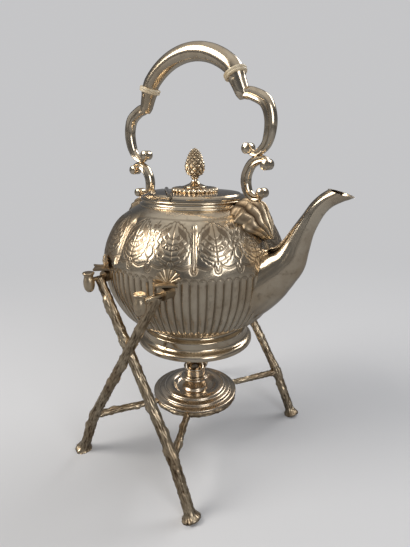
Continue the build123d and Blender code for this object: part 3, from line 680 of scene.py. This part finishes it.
# ---------------------------------------------------------------- spout
SPOUT = np.array(
    [
        (50, 172, 27, 31), (71, 190, 26, 29), (85, 202.5, 23.5, 24), (95.3, 211.5, 19.5, 19.5),
        (103.2, 220, 16.2, 15.5), (109.3, 232.5, 12.2, 11.8), (114.5, 245, 9.4, 9.4), (120, 255.6, 7.8, 7.8),
        (126.5, 266.3, 7.1, 7.1), (135, 274.2, 6.7, 6.7), (150.2, 282.1, 6.7, 6.7),
    ]
)
mouth_back, mouth_lip = np.array([134.3, 281.0]), np.array([154.1, 275.8])


def spout_ring(stations, inset, sides):
    """Sections of the spout, softly panelled outside, cut off at the mouth's plane."""
    panel_depth = 0.05 if inset == 0 else 0
    path = np.stack([stations[:, 0], 0 * stations[:, 0], stations[:, 1]], 1)
    tangent = headings(path)
    up = square_to(tangent)
    angle = np.linspace(0, TAU, sides, endpoint=False)
    half_depth, half_width = stations[:, 2] - inset, stations[:, 3] - inset
    share = np.linspace(0, 1, len(stations))[:, None]
    flat = 1 - panel_depth * (1 - np.abs(np.cos(3 * angle))) * smoothstep(0.95, 0.7, share)
    lip = 1 + 0.05 * smoothstep(0.955, 0.975, share)
    points = (
        path[:, None]
        + (flat * lip * half_depth[:, None] * np.cos(angle))[..., None] * up[:, None]
        + (flat * lip * half_width[:, None] * np.sin(angle))[..., None] * np.array([0, 1.0, 0])
    )
    run = mouth_lip - mouth_back
    normal = np.array([-run[1], 0, run[0]]) / np.hypot(*run)
    over = (points - [mouth_back[0], 0, mouth_back[1]]) @ normal
    slide = np.where((over > 0) & (points[..., 0] > 120), over, 0)
    lean = tangent @ normal
    return points - (slide / np.maximum(lean, 0.2)[:, None])[..., None] * tangent[:, None]


def build_spout():
    """The swan-necked tube with its inside, as one open-ended skin."""
    rows, sides, wall = 120, 96, 1.2
    stations = smooth_curve(SPOUT, rows)
    points = np.concatenate([spout_ring(stations, 0, sides), spout_ring(stations, wall, sides)[::-1]])
    faces = grid_faces(2 * rows, sides, wrap_columns=True)
    mesh_object("swan_spout", points, faces, plate, "kettle", ("spout",), 50, "silver_plate", closed=True)


build_spout()


# ---------------------------------------------------------------- handle
grip_half_span, grip_shoulder_z, grip_top_z = 46.0, 375.5, 393.2
grip_arc_r = (grip_half_span**2 + (grip_top_z - grip_shoulder_z) ** 2) / (2 * (grip_top_z - grip_shoulder_z))
grip_turn = np.arcsin(grip_half_span / grip_arc_r)
grip_end_r, grip_heading = 14.0, grip_turn + np.radians(25)
grip_end = np.array(
    [
        grip_half_span + grip_end_r * (np.sin(grip_heading) - np.sin(grip_turn)), 0,
        grip_shoulder_z - grip_end_r * (np.cos(grip_turn) - np.cos(grip_heading)),
    ]
)
down_end = np.array([np.cos(grip_heading), 0, -np.sin(grip_heading)])
heat_break_thickness, socket_length = 4.5, 16.5


def build_grip():
    """The arched tube and the two pale rings at its ends."""
    arch = np.linspace(0, grip_turn, 50)
    bend = np.linspace(grip_turn, grip_heading, 12)[1:]
    x = np.concatenate(
        [grip_arc_r * np.sin(arch), grip_half_span + grip_end_r * (np.sin(bend) - np.sin(grip_turn))]
    )
    fall = grip_end_r * (np.cos(grip_turn) - np.cos(bend))
    z = np.concatenate([grip_top_z - grip_arc_r * (1 - np.cos(arch)), grip_shoulder_z - fall])
    half = np.stack([x, 0 * x, z], 1)
    path = np.vstack([half[::-1][:-1] * [-1, 1, 1], half])
    swell = 7.98 - 0.33 * np.abs(np.linspace(-1, 1, len(path))) ** 3
    piece = tube(leaned(path), swell, 48, up=(0, 1, 0))
    mesh_object("arched_grip", *piece, plate, "kettle", ("handle_grip",), 40, "silver_plate", closed=True)
    outline = [(4.6, 0), (9.2, 0), (10.3, 0.5), (10.3, 2.0), (9.6, 2.6), (10.2, 3.3), (9.8, 4.5), (4.6, 4.5)]
    outline = soften(outline, 0.7)
    for way_name, way in WAYS.items():
        ring, faces = lathe(outline, 64)
        axis = Vector((way * down_end[0], 0, down_end[2]))
        turn = np.array(axis.to_track_quat("Z", "Y").to_matrix())
        points = leaned(ring @ turn.T + grip_end * [way, 1, 1])
        name, node = f"heat_break_{way_name}", f"insulator_{way_name}"
        mesh_object(name, points, faces, bone, "kettle", (node,), slot="bone", closed=True)


build_grip()


def scroll_section(width, depth):
    """A bar's section: flat sides, bevelled edges and a furrow down each flank."""
    w, d = width / 2, depth / 2
    half = [(w, 0), (w, 0.35 * d), (0.72 * w, 0.86 * d), (0.5 * w, d), (0.18 * w, 0.92 * d), (0, 0.74 * d)]
    quarter = np.array(half)
    mirrored = quarter[::-1][1:] * [-1, 1]
    top = np.vstack([quarter, mirrored])
    bottom = (top * [1, -1])[::-1][1:-1]
    return np.vstack([top, bottom])


def scroll(points, widths, depth, count=120):
    """A scrolled bar that follows a flat curve in the handle's plane."""
    path = smooth_curve([(x, 0, z) for x, z in points], count)
    width = np.interp(np.linspace(0, 1, count), np.linspace(0, 1, len(widths)), widths)
    side = square_to(headings(path))
    section = scroll_section(1.0, 1.0)
    depths = depth * np.clip(width / max(widths), 0.7, 1)
    grid = (
        path[:, None]
        + (section[:, 0] * width[:, None])[..., None] * side[:, None]
        + (section[:, 1] * depths[:, None])[..., None] * np.array([0, 1.0, 0])
    )
    return grid.reshape(-1, 3), closed_faces(count, len(section))


def button(centre, radius, half_depth):
    """A domed eye, in the middle of a curl."""
    d = half_depth
    half = [(0.05, d + 0.9), (0.5 * radius, d + 0.7), (0.9 * radius, d), (radius, d - 0.8)]
    outline = half + [(r, -z) for r, z in half[::-1]]
    ring, faces = lathe(np.array(outline)[::-1], 28)
    return np.stack([ring[:, 0], ring[:, 2], ring[:, 1]], 1) + [centre[0], 0, centre[1]], faces


def build_handle_leg(way_name, way):
    """Socket, upper scroll and lower scroll, each scroll ending in round eyes."""
    elbow = grip_end + down_end * (heat_break_thickness + socket_length)
    ex, ez = elbow[0], elbow[2]
    upper = [
        (ex - 2, ez + 2.5), (ex + 3, ez + 0.6), (ex + 10, ez - 1.0), (79.5, 342.7), (83.9, 328),
        (80.5, 311.5), (72, 303.6), (66.5, 303.4), (62.3, 307),
    ]
    lower = [
        (80.6, 293.6), (78.5, 297.2), (73, 297.7), (65.5, 294.5), (60.4, 286.5), (59.2, 278.8),
        (61.2, 270.5), (66.5, 266), (72, 266), (75.3, 269.4),
    ]
    eye_half_depth = 5.0
    start = grip_end + down_end * heat_break_thickness
    socket = [start + down_end * s for s in np.linspace(0, socket_length + 2.5, 14)]
    socket_r = np.interp(np.linspace(0, 1, 14), [0, 0.06, 0.12, 0.3, 0.8, 1], [7.9, 7.9, 7.4, 7.0, 6.1, 4.6])
    points, faces = join(
        scroll(upper, [9.0, 10.4, 10.8, 10.8, 10.6, 10.4, 9.6, 8.0, 6.0, 4.6], 9.6),
        scroll(lower, [4.8, 6.4, 8.2, 8.8, 9.0, 9.0, 8.6, 7.6, 6.4, 4.8], 9.0),
        button((62.0, 307.6), 4.6, eye_half_depth),
        button((80.2, 293.4), 4.6, eye_half_depth),
        button((75.4, 269.9), 4.3, eye_half_depth),
        tube(socket, socket_r, 32, up=(0, 1, 0)),
    )
    points = leaned(points * [way, 1, 1])
    name, node = f"handle_scrolls_{way_name}", f"handle_leg_{way_name}"
    mesh_object(name, points, faces, plate, "kettle", (node,), 32, "silver_plate", closed=True)


def build_acanthus(way_name, way):
    """The ribbed leaf that spreads from a foot of the handle over the shoulder."""
    rows, columns = 46, 81
    s, t = np.linspace(0, 1, rows)[:, None], np.linspace(-1, 1, columns)[None, :]
    crown = [
        (52.6, 260.6), (56, 263.4), (63, 264.6), (70, 263.2), (76, 258.5), (80.5, 251),
        (84.2, 243), (86.6, 236),
    ]
    crown = smooth_curve(crown, rows)
    crown_r, crown_z = crown[:, 0:1], crown[:, 1:2] + way * 4.0 * (1 - s) ** 0.8
    run = run_at(259.9) + s * (run_at(234.5) - run_at(259.9))
    body_r, body_z, nr, nz = side_at(run)
    lobes = 1 + 0.16 * np.abs(np.sin(np.pi * 3.5 * s)) - 0.10
    half_width = np.interp(s, [0, 0.15, 0.45, 0.75, 1], [15, 17, 21, 15, 1.5]) * lobes
    veins = np.cos(np.pi * 7 * t * (0.6 + 0.4 * s))
    profile = np.clip(1 - np.abs(t) ** 2.2, 0, 1) ** 0.8
    profile = profile * (1 + 0.16 * veins * np.clip(1.1 - np.abs(t), 0, 1))
    base_r, base_z = body_r + nr * 0.25, body_z + nz * 0.25
    r, z = base_r + (crown_r - base_r) * profile, base_z + (crown_z - base_z) * profile
    r, z = r + 0.35 * veins * nr, z + 0.35 * veins * nz
    bearing = np.radians(90 * way + t * half_width)
    under = around(body_r - 0.8, bearing, body_z)
    grid = np.concatenate([around(r, bearing, z), under[:, ::-1]], 1)
    faces = grid_faces(rows, 2 * columns, wrap_columns=True)
    name, node = f"acanthus_{way_name}", f"handle_bracket_{way_name}"
    # Darker in the grooves between the veins and evenly on the underside: painted shade, with real patina in
    # the grooves.
    patina_and_shade = np.concatenate([0.55 - 0.55 * veins * profile, 0 * veins * profile + 0.6], 1)
    mesh_object(name, grid, faces, cast, "kettle", (node,), 0, "cast_silver", patina_and_shade, closed=True)


for way_name, way in WAYS.items():
    build_acanthus(way_name, way)
for way_name, way in WAYS.items():
    build_handle_leg(way_name, way)
keep_mesh(plate, "handle_rivets")


# ---------------------------------------------------------------- bark
def bark(path, radii, seed, sides=44, knots=()):
    """A branch: ridged bark along a path, with swellings at its knots. Gives mesh and a darkening for each
    point: painted shade with real patina in the bark's hollows.
    """
    path = np.asarray(path, dtype=float)
    length = run_lengths(path)
    side, up = frames_along(path, (0, 1, 0))
    angle = np.linspace(0, TAU, sides, endpoint=False)
    lift = np.zeros((len(path), sides))
    for row, run in enumerate(length):
        for column, turn in enumerate(angle):
            ca, sa = np.cos(turn), np.sin(turn)
            ridges = noise.noise(Vector((ca * 3.0, sa * 3.0, run * 0.07 + seed * 7.3)))
            scales = noise.noise(Vector((ca * 4.6, sa * 4.6, run * 0.34 + seed * 3.1)))
            fine = noise.noise(Vector((ca * 9, sa * 9, run * 0.8 + seed * 5.7)))
            lift[row, column] = 0.9 * (0.5 - 2.2 * abs(ridges)) + 0.95 * scales + 0.35 * fine
    for place, turn, size in knots:
        away = (length[:, None] - place) / size
        round_off = (np.cos(angle[None, :] - turn) - 1) * 3.0
        lift += 1.9 * np.exp(-(away**2) + round_off) - 1.0 * np.exp(-((away / 0.35) ** 2) + 4 * round_off)
    r = np.asarray(radii)[:, None] + lift * 0.85
    ring = np.cos(angle)[None, :, None] * side[:, None] + np.sin(angle)[None, :, None] * up[:, None]
    points = path[:, None] + r[..., None] * ring
    # Lower bark is darker: painted shade, with real patina in the hollows.
    patina_and_shade = np.clip(0.38 - 0.75 * lift, 0, 1).ravel()
    return points.reshape(-1, 3), closed_faces(len(path), sides), patina_and_shade


def build_leg(name, side, top_x, stagger, seed):
    """One bark branch with its eye, knee and bell foot."""
    way = -1 if top_x > 0 else 1
    eye = np.array([top_x, side * (eye_y + stagger), pin_z])
    knee_at = np.array([way * knee[0], side * (knee[1] + stagger), knee[2]])
    foot_at = np.array([way * foot[0], side * (foot[1] + stagger), foot[2]])
    upper_rows, lower_rows = 90, 35
    upper = np.linspace(eye, knee_at, upper_rows)
    lower = np.linspace(knee_at, foot_at, lower_rows + 1)[1:]
    path = np.vstack([upper, lower])
    for _ in range(3):
        path[1:-1] = (path[:-2] + 2 * path[1:-1] + path[2:]) / 4
    radii = np.concatenate([np.linspace(4.0, 4.7, upper_rows), np.linspace(4.7, 4.9, lower_rows)])
    height = path[:, 2]
    radii = radii + 4.0 * np.exp(-((height / 3.6) ** 2)) + 0.8 * np.exp(-(((height - knee[2]) / 5) ** 2))
    rng = np.random.default_rng(seed)
    knots = [(place, rng.uniform(0, TAU), rng.uniform(2.2, 4.0)) for place in rng.uniform(12, 200, 9)]
    points, faces, patina_and_shade = bark(path, radii, seed, knots=knots)
    points[:, 2] = np.maximum(points[:, 2], 0.0)
    node = name.replace("branch", "leg")
    mesh_object(name, points, faces, cast, "stand", (node,), 0, "cast_silver", patina_and_shade, closed=True)


seed = 1
for side_name, side in SIDES.items():
    build_leg(f"branch_rear_{side_name}", side, pin_x, leg_stagger, seed)
    build_leg(f"branch_front_{side_name}", side, -pin_x, -leg_stagger, seed + 1)
    seed += 2


def build_twigs():
    """The four twigs from the knees to the ring, and the ring itself."""
    number = 20
    for side_name, side in SIDES.items():
        for way_name, way in WAYS.items():
            start = np.array([way * knee[0], side * (knee[1] - way * leg_stagger), knee[2]])
            end = np.array([start[0], start[1], 0]) / np.hypot(start[0], start[1]) * ring_r + [0, 0, ring_z]
            path = np.linspace(start, end, 60)
            knots = [(20, 1.0, 3.0), (44, 4.0, 2.6)]
            points, faces, patina_and_shade = bark(path, np.linspace(3.5, 2.9, 60), number, 30, knots)
            name = f"twig_{way_name}_{side_name}"
            node = name.replace("twig", "stretcher")
            mesh_object(name, points, faces, cast, "stand", (node,), 0, "cast_silver", patina_and_shade, closed=True)
            number += 1
    ring_rows, ring_bar_r, ring_seed = 241, 2.9, 31
    path = around(ring_r, np.linspace(np.pi, np.pi + TAU, ring_rows), ring_z)
    shares = (0.08, 0.21, 0.33, 0.46, 0.62, 0.71, 0.88)
    knots = [(TAU * ring_r * share, 4.5 * share, 3.2) for share in shares]
    points, faces, patina_and_shade = bark(path, np.full(ring_rows, ring_bar_r), ring_seed, 26, knots)
    mesh_object(
        "bark_ring", points, faces, cast, "stand", ("burner_ring",), 0, "cast_silver", patina_and_shade, closed=True
    )


build_twigs()


# ---------------------------------------------------------------- hanging pins, lugs and shells
def build_pin(side_name, side, way_name, way):
    """A pin with its tulip-shaped knob standing on the outer end."""
    reach, knob_drop = 21.0 if way > 0 else 10.0, 10.73
    at = np.array([way * pin_x, side * (eye_y + reach), pin_z - knob_drop])
    outline = [
        (0.1, 0), (2.4, 0.5), (4.2, 3.0), (5.0, 7.0), (4.9, 11.0), (4.0, 14.2), (3.9, 15.4),
        (5.28, 17.2), (5.28, 18.0), (4.7, 18.5), (0.1, 18.2),
    ]
    knob, knob_faces = lathe(soften(outline, 1.2), 48)
    inner_y = np.sqrt(belly_r**2 - (pin_x - pin_r) ** 2) + 0.6
    shaft_y = np.linspace(inner_y, eye_y + reach - 2, 8)
    shaft = tube([(way * pin_x, side * y, pin_z) for y in shaft_y], pin_r, 20)
    mesh = join((knob + at, knob_faces), shaft)
    place = f"{way_name}_{side_name}"
    node = f"hanging_pin_{place}"
    name, body = f"knobbed_pin_{place}", f"pin_{place}"
    mesh_object(name, *mesh, cast, body, (node,), slot="cast_silver", closed=True)


def build_lug(side_name, side, way_name, way):
    """The boss that takes the pin, under a three-pointed leaf with raised veins."""
    x0, stagger = way * pin_x, way * leg_stagger
    root_y, outer_y = np.sqrt(belly_r**2 - pin_x**2) - 4, eye_y + stagger - eye_length / 2 - 0.5
    outline = [(-7, 0), (-7, 3.5), (-9, 5.5), (-14, 8.2), (-9, 10.2), (-6.5, 13), (-3.2, 16.5), (0, 20)]
    edge = np.array(outline + [(-x, y) for x, y in outline[-2::-1]], dtype=float)
    edge = smooth_curve([(x, y, 0) for x, y in edge], 97)[:, :2]
    middle = np.array([0, 6.0])
    under_z, leaf_z, tip_rise = 204.3, 205.9, 1.3
    rings, patina_and_shade, layers = [], [], np.linspace(0, 1, 14)
    for share in layers:
        flat = middle + (edge - middle) * share
        vein = np.cos(np.arctan2(flat[:, 0], flat[:, 1] - 3) * 6)
        high = leaf_z + 1.5 * (1 - share**2) + 1.8 * vein * share * (1 - share) + tip_rise * share**3
        rings.append(np.stack([x0 + flat[:, 0], side * (root_y + flat[:, 1]), high], 1))
        patina_and_shade.append(0.5 - 0.4 * vein * (1 - share))
    for share in layers[::-1]:
        flat = middle + (edge - middle) * share * 0.985
        low = under_z + tip_rise * share**3 + 0 * flat[:, 0]
        rings.append(np.stack([x0 + flat[:, 0], side * (root_y + flat[:, 1]), low], 1))
        patina_and_shade.append(0 * flat[:, 0] + 0.6)
    leaf = np.array(rings).reshape(-1, 3), grid_faces(len(rings), len(edge))
    boss = tube([(x0, side * y, pin_z) for y in np.linspace(root_y - 6, outer_y, 6)], 5.3, 36)
    web = tube([(x0, side * (root_y - 4 + 9 * t), pin_z + 6.5 * t) for t in (0, 0.5, 1)], [3.5, 3.5, 3.0], 16)
    name, node = f"leaf_lug_{way_name}_{side_name}", f"lug_{way_name}_{side_name}"
    points, faces = join(leaf, boss, web)
    # Darker along the leaf's vein grooves, evenly on its underside and on the boss and web under it: painted
    # shade, with real patina in the grooves.
    lug_patina_and_shade = np.full(len(points), 0.45)
    lug_patina_and_shade[: len(leaf[0])] = np.concatenate(patina_and_shade)
    mesh_object(name, points, faces, cast, "kettle", (node,), 40, "cast_silver", lug_patina_and_shade, closed=True)


def build_shell(side_name, side, way_name, way):
    """A scallop shell fanned up the body above a lug."""
    bearing = np.degrees(np.arcsin(pin_x / belly_r)) * way
    bearing = bearing if side < 0 else 180 - bearing
    rows, columns, half_fan, shell_length = 26, 113, 1.45, 11.5
    reach = np.linspace(0.06, 1, rows)[:, None]
    fan = np.linspace(-half_fan, half_fan, columns)[None, :]
    ribs = np.abs(np.cos(fan / half_fan * np.pi * 3.5)) ** 0.8
    length = shell_length * reach * (1 - 0.10 * (1 - ribs) * reach)
    across, height = length * np.sin(fan), 206.3 + length * np.cos(fan)
    lift = 0.5 + (1.7 - 1.1 * reach) * 0.9 + 1.25 * ribs * reach**0.6
    points = on_body(bearing + np.degrees(across / belly_r), height, lift)
    under = on_body(bearing + np.degrees(across / belly_r), height, 0 * lift - 0.6)
    grid = np.concatenate([points, under[:, ::-1]], 1)
    name, node = f"scallop_{way_name}_{side_name}", f"shell_{way_name}_{side_name}"
    faces = grid_faces(rows, 2 * columns, wrap_columns=True)
    # Darker between the ribs and evenly on the underside: painted shade, with real patina between the ribs.
    patina_and_shade = 0.75 * (1 - ribs) ** 1.5 + 0 * reach
    patina_and_shade = np.concatenate([patina_and_shade, 0 * patina_and_shade + 0.7], 1)
    mesh_object(name, grid, faces, cast, "kettle", (node,), 0, "cast_silver", patina_and_shade, closed=True)


for side_name, side in SIDES.items():
    for way_name, way in WAYS.items():
        build_pin(side_name, side, way_name, way)
        build_lug(side_name, side, way_name, way)
        build_shell(side_name, side, way_name, way)

# ---------------------------------------------------------------- burner
BURNER = (
    ("spirit_font", "burner", "burner_font", 1.5, [
        (0.3, 40.3), (23.2, 40.3), (33.0, 45.5), (37.5, 50.7), (37.5, 53.3), (36.5, 53.3), (36.5, 50.7),
        (32.0, 46.1), (22.7, 41.3), (0.3, 41.3),
    ]),
    ("stepped_cover", "burner", "burner_cover", 0.7, [
        (9.5, 53.3), (45.0, 53.3), (45.5, 53.8), (45.5, 55.3), (44.8, 55.9), (40.2, 56.1), (39.4, 56.6),
        (39.4, 58.0), (38.4, 58.9), (34.2, 59.4), (33.3, 60.0), (33.1, 61.2), (32.0, 62.2), (29.0, 62.7),
        (26.2, 62.7), (23.4, 61.8), (21.4, 59.4), (19.6, 57.9), (9.5, 57.7), (9.5, 53.3),
    ]),
    ("cup_neck", "burner", "burner_neck", 0.6, [
        (9.5, 57.7), (14.2, 57.7), (13.4, 58.9), (12.2, 60.2), (11.4, 64.0), (11.5, 67.0), (12.4, 68.2),
        (14.6, 69.4), (15.0, 70.2), (15.0, 71.2), (14.4, 71.9), (12.6, 72.4), (12.2, 73.2), (9.5, 73.2),
        (9.5, 57.7),
    ]),
    ("lift_out_cup", "wick_holder", "wick_cup", 0.4, [
        (4.2, 64.5), (9.4, 64.5), (9.4, 73.5), (11.0, 73.5), (11.3, 74.4), (11.3, 80.6), (12.2, 82.0),
        (12.2, 83.2), (11.8, 83.5), (11.3, 83.5), (10.1, 81.0), (10.1, 74.7), (4.2, 74.7), (4.2, 64.5),
    ]),
)
for name, body, node, rounding, outline in BURNER:
    turned(name, outline, burner_metal, body, (node,), slot="burner_silver", rounding=rounding)
keep_mesh(burner_metal, "flame_petals")
keep_mesh(wick_cotton, "wick")


# ---------------------------------------------------------------- camera, light and floor
PHOTO_HEIGHT = 547  # pixels
camera_bearing, camera_distance, camera_height = 39.11, 405.88, 309.5
camera_pitch, camera_yaw, camera_roll, camera_focal = 16.66, -1.46, 0.38, 412.7
floor_colour, mirrored_floor_colour = (0.66, 0.66, 0.67), (0.24, 0.25, 0.27)
backdrop_colour = (0.56, 0.56, 0.57)
world_strength = 0.7
floor_half_side, floor_fade = 6.0, (0.1, 1.0)  # metres, and metres from the middle


def build_camera():
    bearing, pitch, yaw, roll = np.radians([camera_bearing, camera_pitch, camera_yaw, camera_roll])
    place = np.array([camera_distance * np.sin(bearing), -camera_distance * np.cos(bearing), camera_height])
    ahead = np.array([-np.sin(bearing), np.cos(bearing), 0])
    ahead = np.array(
        [ahead[0] * np.cos(yaw) - ahead[1] * np.sin(yaw), ahead[0] * np.sin(yaw) + ahead[1] * np.cos(yaw), 0]
    )
    right = np.array([ahead[1], -ahead[0], 0])
    look = ahead * np.cos(pitch) - np.array([0, 0, np.sin(pitch)])
    up = np.cross(right, look)
    right, up = right * np.cos(roll) + up * np.sin(roll), up * np.cos(roll) - right * np.sin(roll)
    data = bpy.data.cameras.new("camera")
    data.sensor_fit = "VERTICAL"
    data.sensor_height = 24
    data.lens = camera_focal / PHOTO_HEIGHT * data.sensor_height
    data.clip_start = 0.01
    obj = bpy.data.objects.new("camera", data)
    rotation = Matrix([[right[k], up[k], -look[k]] for k in range(3)])
    obj.matrix_world = Matrix.Translation(Vector(place * MM)) @ rotation.to_4x4()
    bpy.context.scene.collection.objects.link(obj)
    bpy.context.scene.camera = obj


def softbox(name, place, aim, size, power, colour=(1, 1, 1)):
    data = bpy.data.lights.new(name, "AREA")
    data.shape = "RECTANGLE"
    data.size, data.size_y = size
    data.energy = power
    data.color = colour
    obj = bpy.data.objects.new(name, data)
    place, aim = Vector(place), Vector(aim)
    obj.matrix_world = Matrix.Translation(place) @ (aim - place).to_track_quat("-Z", "Y").to_matrix().to_4x4()
    bpy.context.scene.collection.objects.link(obj)


def build_floor():
    """A plain pale floor that runs into the backdrop's colour away from the kettle."""
    mesh = bpy.data.meshes.new("floor")
    s = floor_half_side
    mesh.from_pydata([(-s, -s, 0), (s, -s, 0), (s, s, 0), (-s, s, 0)], [], [(0, 1, 2, 3)])
    floor = bpy.data.objects.new("floor", mesh)

    def build(nodes, link, shader):
        shader.inputs["Roughness"].default_value = 0.9
        place = nodes.new("ShaderNodeTexCoord")
        reach = nodes.new("ShaderNodeVectorMath")
        reach.operation = "LENGTH"
        link(place.outputs["Object"], reach.inputs[0])
        near, out = floor_fade
        far = new_node(nodes, "MapRange", From_Min=near, From_Max=out)
        far.interpolation_type = "SMOOTHSTEP"
        link(reach.outputs["Value"], far.inputs["Value"])
        seen = nodes.new("ShaderNodeLightPath")
        colour = mix_colour(nodes, link, seen.outputs["Is Glossy Ray"], floor_colour, mirrored_floor_colour)
        link(colour, shader.inputs["Base Color"])
        share = nodes.new("ShaderNodeMath")
        share.operation = "MULTIPLY"
        link(far.outputs["Result"], share.inputs[0])
        link(seen.outputs["Is Camera Ray"], share.inputs[1])
        plain = new_node(nodes, "Emission", Color=(*backdrop_colour, 1))
        blend = nodes.new("ShaderNodeMixShader")
        link(share.outputs[0], blend.inputs[0])
        link(shader.outputs[0], blend.inputs[1])
        link(plain.outputs[0], blend.inputs[2])
        link(blend.outputs[0], nodes["Material Output"].inputs["Surface"])

    mesh.materials.append(material("floor", build))
    bpy.context.scene.collection.objects.link(floor)


def build_world():
    world = bpy.data.worlds.new("studio")
    bpy.context.scene.world = world
    world.use_nodes = True
    nodes, link = world.node_tree.nodes, world.node_tree.links.new
    place = nodes.new("ShaderNodeTexCoord")
    split = nodes.new("ShaderNodeSeparateXYZ")
    link(place.outputs["Generated"], split.inputs[0])
    ramp = ramp_node(
        nodes, link, split.outputs["Z"],
        [
            (0.0, (0.30, 0.31, 0.33)), (0.12, (0.16, 0.17, 0.19)), (0.45, (0.10, 0.11, 0.13)),
            (0.75, (0.55, 0.55, 0.56)), (1.0, (0.8, 0.8, 0.8)),
        ],
    )
    seen = nodes.new("ShaderNodeLightPath")
    seen_colour = tuple(c / world_strength for c in backdrop_colour)
    colour = mix_colour(nodes, link, seen.outputs["Is Camera Ray"], ramp.outputs["Color"], seen_colour)
    link(colour, nodes["Background"].inputs["Color"])
    nodes["Background"].inputs["Strength"].default_value = world_strength


build_camera()
build_floor()
build_world()
softbox("key", (-0.9, -1.3, 1.3), (0, 0, 0.2), (0.9, 1.2), 26, (1.0, 0.97, 0.92))
softbox("fill", (1.5, -0.6, 0.9), (0, 0, 0.2), (0.7, 1.0), 8, (0.95, 0.97, 1.0))
softbox("back", (0.3, 1.5, 1.4), (0, 0, 0.2), (1.2, 0.6), 14)

bpy.context.scene.view_settings.view_transform = "Standard"
